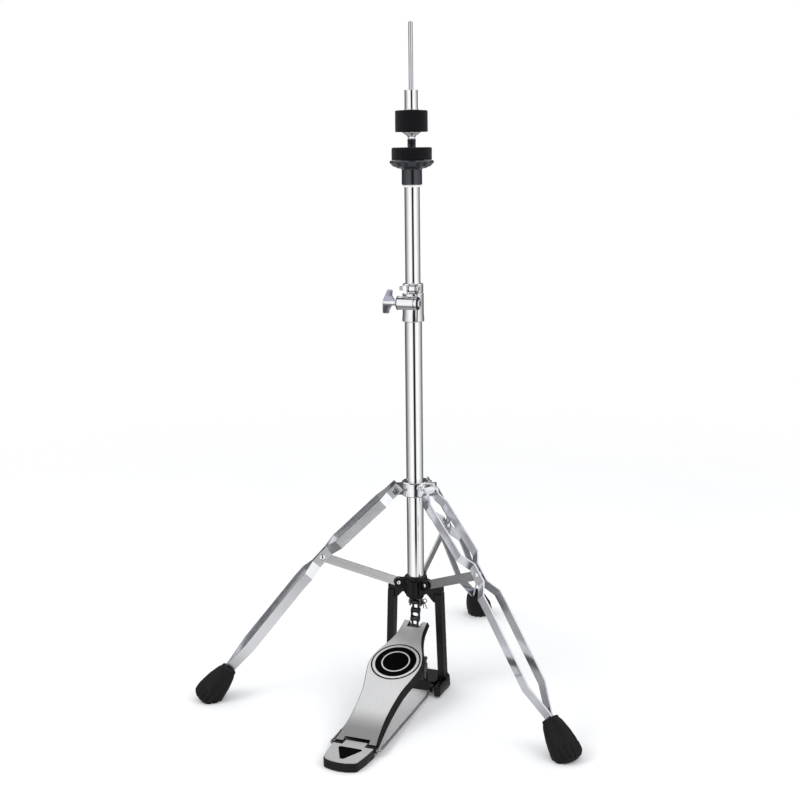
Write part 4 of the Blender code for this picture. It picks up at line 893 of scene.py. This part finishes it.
def make_pedal():
    dress("footboard", "casting", 0.0005, 30)
    # The plate's greys from toe to heel, and those of the badge's silver rings, are a painted reflection.
    dress("footboard_plate", "brushed", 0.00025, 30)
    place = board_frame() @ Matrix.Translation((0, BADGE_AT, -0.0001))
    for name, outer, inner, top, look in (
        ("badge_outer_ring", BADGE_R, 0.0350, 0.00055, "enamel"),
        ("badge_silver_ring", 0.0350, 0.0310, 0.00045, "brushed"),
        ("badge_disc", 0.0310, 0.0, 0.00070, "enamel"),
        ("badge_inner_ring", 0.0215, 0.0195, 0.00090, "brushed"),
    ):
        add_piece(name, [disc(outer, inner, -0.0004, top, 0.0002)], "pedal", look, matrix=place)


def make_heel():
    dress("heel_base", "casting", 0.0009, 30, 3)
    # The heel cover's lighter middle is a painted reflection.
    dress("heel_cover", "brushed_heel_painted_reflection", 0.0003, 30)
    top = high("heel_cover").z
    left, right, front, back = -0.0275, 0.0165, -0.2200, -0.1985
    tail = [(left, front, 0.001), (right, front, 0.001), (right, back, 0.004), (left, back, 0.004)]
    tail = prism(rounded(tail), SOLE_BOTTOM, SOLE_TOP)
    add_piece("heel_sole_tail", [tail], "frame", "casting", bevel=0.0004)
    inlay = [(-0.0190, -0.2552, 0.0030), (0.0190, -0.2552, 0.0030), (0.0, -0.2925, 0.0040)]
    inlay = prism(rounded(inlay, True, 8), top - 0.0003, top + 0.0004)
    add_piece("heel_inlay", [inlay], "frame", "enamel", bevel=0.0002)


# ---------------------------------------------------------------- tripod


def make_collar():
    dress("leg_collar", "cast_chrome", 0.0006)
    dress("collar_key_bolt", "cast_chrome", 0.0004)
    for leg in LEG_ANGLES:
        dress(leg + "_leg_bolt", "cast_chrome", 0.0004, 40)


def strip_look(leg, place):
    """The chrome of a leg's strip: the left leg's two are rougher than the others and painted lighter, as
    painted light on copies of the same chrome; its rear one is painted less light, as painted shade between
    the two.
    """
    if leg != "left":
        return "chrome_sheet"
    return "inner_sheet_painted_light_and_shade" if place == "rear" else "satin_sheet_painted_light"


def make_legs():
    strips = {"left": ("rear", "front"), "right": ("front", "rear"), "back": ("right", "left")}
    r, z = LEG_RIVET
    outer = STRIP_AT_STAY + STRIP_THICKNESS / 2
    head = lathe([
        (0.0046, 0.0002, 0), (0.0044, 0.0010, 0.0004), (0.0034, 0.0020, 0.0008), (0.0020, 0.0025, 0.001),
        (0.0004, 0.0026, 0),
    ], steps=40)
    shank = rod((0, 0, -STRIP_THICKNESS + 0.0001), (0, 0, 0.0012), 0.0029)
    for leg, places in strips.items():
        turn = leg_turn(leg)
        for side, place in zip((-1, 1), places):
            dress("%s_leg_%s_strip" % (leg, place), strip_look(leg, place), 0.0004, 20)
            move = turn @ across((r, side * outer, z), (0, side, 0))
            node = "%s_leg_%s_rivet" % (leg, place)
            rivet = [placed(head, move), placed(shank, move)]
            add_piece(node + "_domed", rivet, leg + "_leg", "chrome", node)
        # The right leg's stay gets the darker copy of the stay steel: painted shade.
        dress(leg + "_stay", "stay_painted_shade" if leg == "right" else "stay_steel", 0.0005)
        make_foot(leg)


def make_foot(leg):
    """A rubber boot round the leg's end, ribbed at its sole and cut flat where it stands."""
    start, end = Vector(LEG_RUN[0]), Vector(LEG_RUN[1])
    along = (end - start).normalized()
    lean = math.atan2(along.x, -along.y)
    mouth = Vector((FOOT_MOUTH[0], 0, FOOT_MOUTH[1]))
    place = leg_turn(leg) @ Matrix.Translation(mouth) @ Matrix.Rotation(-lean, 4, "Y")

    def ribs(angle, z):
        """Grooves round the sole, fading out above it and at its end."""
        below = min(max((-z - 0.0400) / 0.0050, 0.0), 1.0)
        above = min(max((0.0640 + z) / 0.0030, 0.0), 1.0)
        return -0.0024 * below * above * (0.5 - 0.5 * math.cos(14 * angle)) ** 2

    half_x, half_y, socket_depth, socket_power = 0.0078, 0.0031, 0.0200, 8
    corners = [
        (0.0094, 0.0000, 0.0006), (0.0118, -0.0006, 0.0008), (0.0124, -0.0046, 0.0010),
        (0.0131, -0.0056, 0.0006), (0.0148, -0.0090, 0.0060), (0.0190, -0.0250, 0.0140),
        (0.0211, -0.0395, 0.0040), (0.0211, -0.0425, 0.0008), (0.0219, -0.0436, 0.0006),
        (0.0219, -0.0520, 0.0020), (0.0212, -0.0560, 0.0030), (0.0174, -0.0610, 0.0040),
        (0.0090, -0.0640, 0.0040), (0.0030, -0.0645, 0),
    ]
    steps = 176
    turns = [(math.cos(2 * math.pi * k / steps), math.sin(2 * math.pi * k / steps)) for k in range(steps)]
    socket = []
    for c, s in turns:
        flatness = abs(c / half_x) ** socket_power + abs(s / half_y) ** socket_power
        scale = flatness ** (-1 / socket_power)
        socket.append((scale * c, scale * s))
    rings = [[(x, y, z) for x, y in socket] for z in (-socket_depth, 0.0)]
    for radius, z in rounded(corners, False, 5):
        ring = []
        for k, (c, s) in enumerate(turns):
            r = radius + ribs(2 * math.pi * k / steps, z)
            ring.append((r * c, r * s, z))
        rings.append(ring)
    obj = build(leg + "_foot_rubber", [loft(rings)], place)
    mesh = bmesh.new()
    mesh.from_mesh(obj.data)
    everything = mesh.verts[:] + mesh.edges[:] + mesh.faces[:]
    cut = bmesh.ops.bisect_plane(mesh, geom=everything, dist=1e-6, plane_co=(0, 0, 0), plane_no=(0, 0, 1),
                                 clear_inner=True)
    rim = [e for e in cut["geom_cut"] if isinstance(e, bmesh.types.BMEdge)]
    bmesh.ops.contextual_create(mesh, geom=rim)
    bmesh.ops.recalc_face_normals(mesh, faces=mesh.faces)
    mesh.to_mesh(obj.data)
    mesh.free()
    obj.data.shade_smooth()
    weigh_normals(obj)
    settle(obj, leg + "_leg", "rubber", leg + "_foot")


# ---------------------------------------------------------------- stage, light and camera

CAMERA_AZIMUTH = math.radians(21.46)
CAMERA_PITCH = math.radians(11.26)
CAMERA_ROLL = math.radians(-0.69)
CAMERA_REACH, CAMERA_HEIGHT, CAMERA_SIDE = 1.80, 0.807, 0.0209
SENSOR_WIDTH = 36.0
FOCAL_PIXELS, PICTURE = 1238.0, 800.0

# Greys round the studio, from the middle of the dark gap (0) to the opposite side (1).
STUDIO_TURN = math.radians(62.5)
STUDIO_WALLS = (
    (0.12, 1.02), (0.26, 1.10), (0.31, 1.00), (0.40, 0.82),
    (0.49, 0.60), (0.60, 0.31), (0.74, 0.12), (1.0, 0.08),
)
DARK_GAP = ((0.0, 0.012), (0.058, 0.012), (0.085, 0.60))
NO_GAP = ((0.0, 0.86),)
# Greys from the floor up to the ceiling.
STUDIO_LEVELS = (
    (0.0, 0.50), (0.03, 0.50), (0.06, 0.16), (0.09, 0.14), (0.16, 0.36), (0.28, 0.85),
    (0.70, 0.98), (0.92, 1.02), (0.95, 0.08), (0.97, 0.08), (0.985, 0.30), (1.0, 0.30),
)
FLOOR_RADIUS, FLOOR_Z, FLOOR_SIDES = 4, -0.0004, 64
LIGHT_AIM = (0, 0, 0.35)


def make_camera():
    a, p, roll = CAMERA_AZIMUTH, CAMERA_PITCH, CAMERA_ROLL
    right = Vector((math.cos(a), math.sin(a), 0))
    ahead = Vector((-math.sin(a) * math.cos(p), math.cos(a) * math.cos(p), -math.sin(p)))
    up = right.cross(ahead)
    place = Vector((CAMERA_REACH * math.sin(a), -CAMERA_REACH * math.cos(a), CAMERA_HEIGHT))
    place -= right * CAMERA_SIDE
    x = right * math.cos(roll) + up * math.sin(roll)
    y = up * math.cos(roll) - right * math.sin(roll)
    data = bpy.data.cameras.new("camera")
    data.sensor_width = SENSOR_WIDTH
    data.lens = FOCAL_PIXELS / PICTURE * data.sensor_width
    camera = bpy.data.objects.new("camera", data)
    camera.matrix_world = Matrix.Translation(place) @ Matrix((x, y, -ahead)).transposed().to_4x4()
    bpy.context.scene.collection.objects.link(camera)
    bpy.context.scene.camera = camera


def make_world():
    """A round white studio, greyer towards the back, with one dark gap that chrome needs to look round."""
    world = bpy.data.worlds.new("studio")
    world.use_nodes = True
    bpy.context.scene.world = world
    tree = world.node_tree
    tree.nodes.clear()
    coords = add_node(tree, "TexCoord").outputs["Generated"]
    turn = add_node(tree, "VectorRotate", {"Axis": (0, 0, 1), "Angle": STUDIO_TURN}, {"Vector": coords})
    part = add_node(tree, "SeparateXYZ", links={"Vector": turn.outputs["Vector"]})
    angle = add_node(tree, "Math", links={0: part.outputs["Y"], 1: part.outputs["X"]}, operation="ARCTAN2")
    size = add_node(tree, "Math", links={0: angle.outputs[0]}, operation="ABSOLUTE")
    share = add_node(tree, "Math", {1: math.pi}, {0: size.outputs[0]}, operation="DIVIDE").outputs[0]
    walls = ramp_node(tree, share, DARK_GAP + STUDIO_WALLS)
    plain = ramp_node(tree, share, NO_GAP + STUDIO_WALLS)
    beneath = spread(tree, part.outputs["Z"], 0.0, 1.0, -0.309, -0.345)
    around = add_node(tree, "MixRGB", links={"Fac": beneath, "Color1": walls, "Color2": plain}).outputs[0]
    height = spread(tree, part.outputs["Z"], 0.0, 1.0, -1.0, 1.0)
    levels = ramp_node(tree, height, STUDIO_LEVELS)
    steepness = add_node(tree, "Math", links={0: part.outputs["Z"]}, operation="ABSOLUTE").outputs[0]
    off_level = spread(tree, steepness, 0.0, 1.0, 0.30, 0.62, interpolation_type="SMOOTHSTEP")
    studio = add_node(tree, "MixRGB", links={"Fac": off_level, "Color1": around, "Color2": levels})
    path = add_node(tree, "LightPath")
    gloss = add_node(tree, "Background", links={"Color": studio.outputs[0]})
    soft = add_node(tree, "Background", {"Color": (0.97, 0.98, 1.0, 1), "Strength": 0.92})
    white = add_node(tree, "Background", {"Color": (1, 1, 1, 1), "Strength": 1.0})
    links = {0: path.outputs["Is Glossy Ray"], 1: soft.outputs[0], 2: gloss.outputs[0]}
    inner = add_node(tree, "MixShader", links=links)
    links = {0: path.outputs["Is Camera Ray"], 1: inner.outputs[0], 2: white.outputs[0]}
    outer = add_node(tree, "MixShader", links=links)
    add_node(tree, "OutputWorld", links={"Surface": outer.outputs[0]})


def make_floor():
    """A plain pale floor that fades into the white backdrop."""
    mesh = bmesh.new()
    ring = []
    for k in range(FLOOR_SIDES):
        angle = 2 * math.pi * k / FLOOR_SIDES
        ring.append(mesh.verts.new((FLOOR_RADIUS * math.cos(angle), FLOOR_RADIUS * math.sin(angle), FLOOR_Z)))
    mesh.faces.new(ring)
    data = bpy.data.meshes.new("floor")
    mesh.to_mesh(data)
    mesh.free()
    floor = bpy.data.objects.new("floor", data)
    bpy.context.scene.collection.objects.link(floor)
    material = bpy.data.materials.new("pale_floor")
    material.use_nodes = True
    tree = material.node_tree
    shader = tree.nodes["Principled BSDF"]
    shader.inputs["Roughness"].default_value = 0.9
    shader.inputs["Specular IOR Level"].default_value = 0.0
    coords = add_node(tree, "TexCoord")
    far = add_node(tree, "VectorMath", links={0: coords.outputs["Object"]}, operation="LENGTH")
    fade = spread(tree, far.outputs["Value"], 1.0, 0.0, 0.7, 2.2, interpolation_type="SMOOTHSTEP")
    cloud = grain(tree, coords.outputs["Object"], 3)
    colour = blend_colours(tree, cloud, (0.93, 0.93, 0.93), (0.95, 0.95, 0.95))
    tree.links.new(colour, shader.inputs["Base Color"])
    tree.links.new(fade, shader.inputs["Alpha"])
    data.materials.append(material)
    floor.visible_glossy = False


def make_lights():
    for name, place, size, power in (
        ("key", (-1.6, -1.6, 2.4), 1.6, 26.0),
        ("fill", (2.0, -0.6, 1.8), 1.6, 12.0),
    ):
        data = bpy.data.lights.new(name, "AREA")
        data.shape = "DISK"
        data.size = size
        data.energy = power
        light = bpy.data.objects.new(name, data)
        light.location = place
        light.rotation_euler = (Vector(place) - Vector(LIGHT_AIM)).to_track_quat("Z", "Y").to_euler()
        light.visible_glossy = False
        bpy.context.scene.collection.objects.link(light)


make_tubes()
make_clamp()
make_memory_lock()
make_seat()
make_felts()
make_clutch()
make_pull_rod()
make_spring()
make_adjuster()
make_chain()
make_frame()
make_radius_rod()
make_pedal()
make_heel()
make_collar()
make_legs()
make_world()
make_floor()
make_lights()
make_camera()
bpy.context.scene.view_settings.view_transform = "Standard"
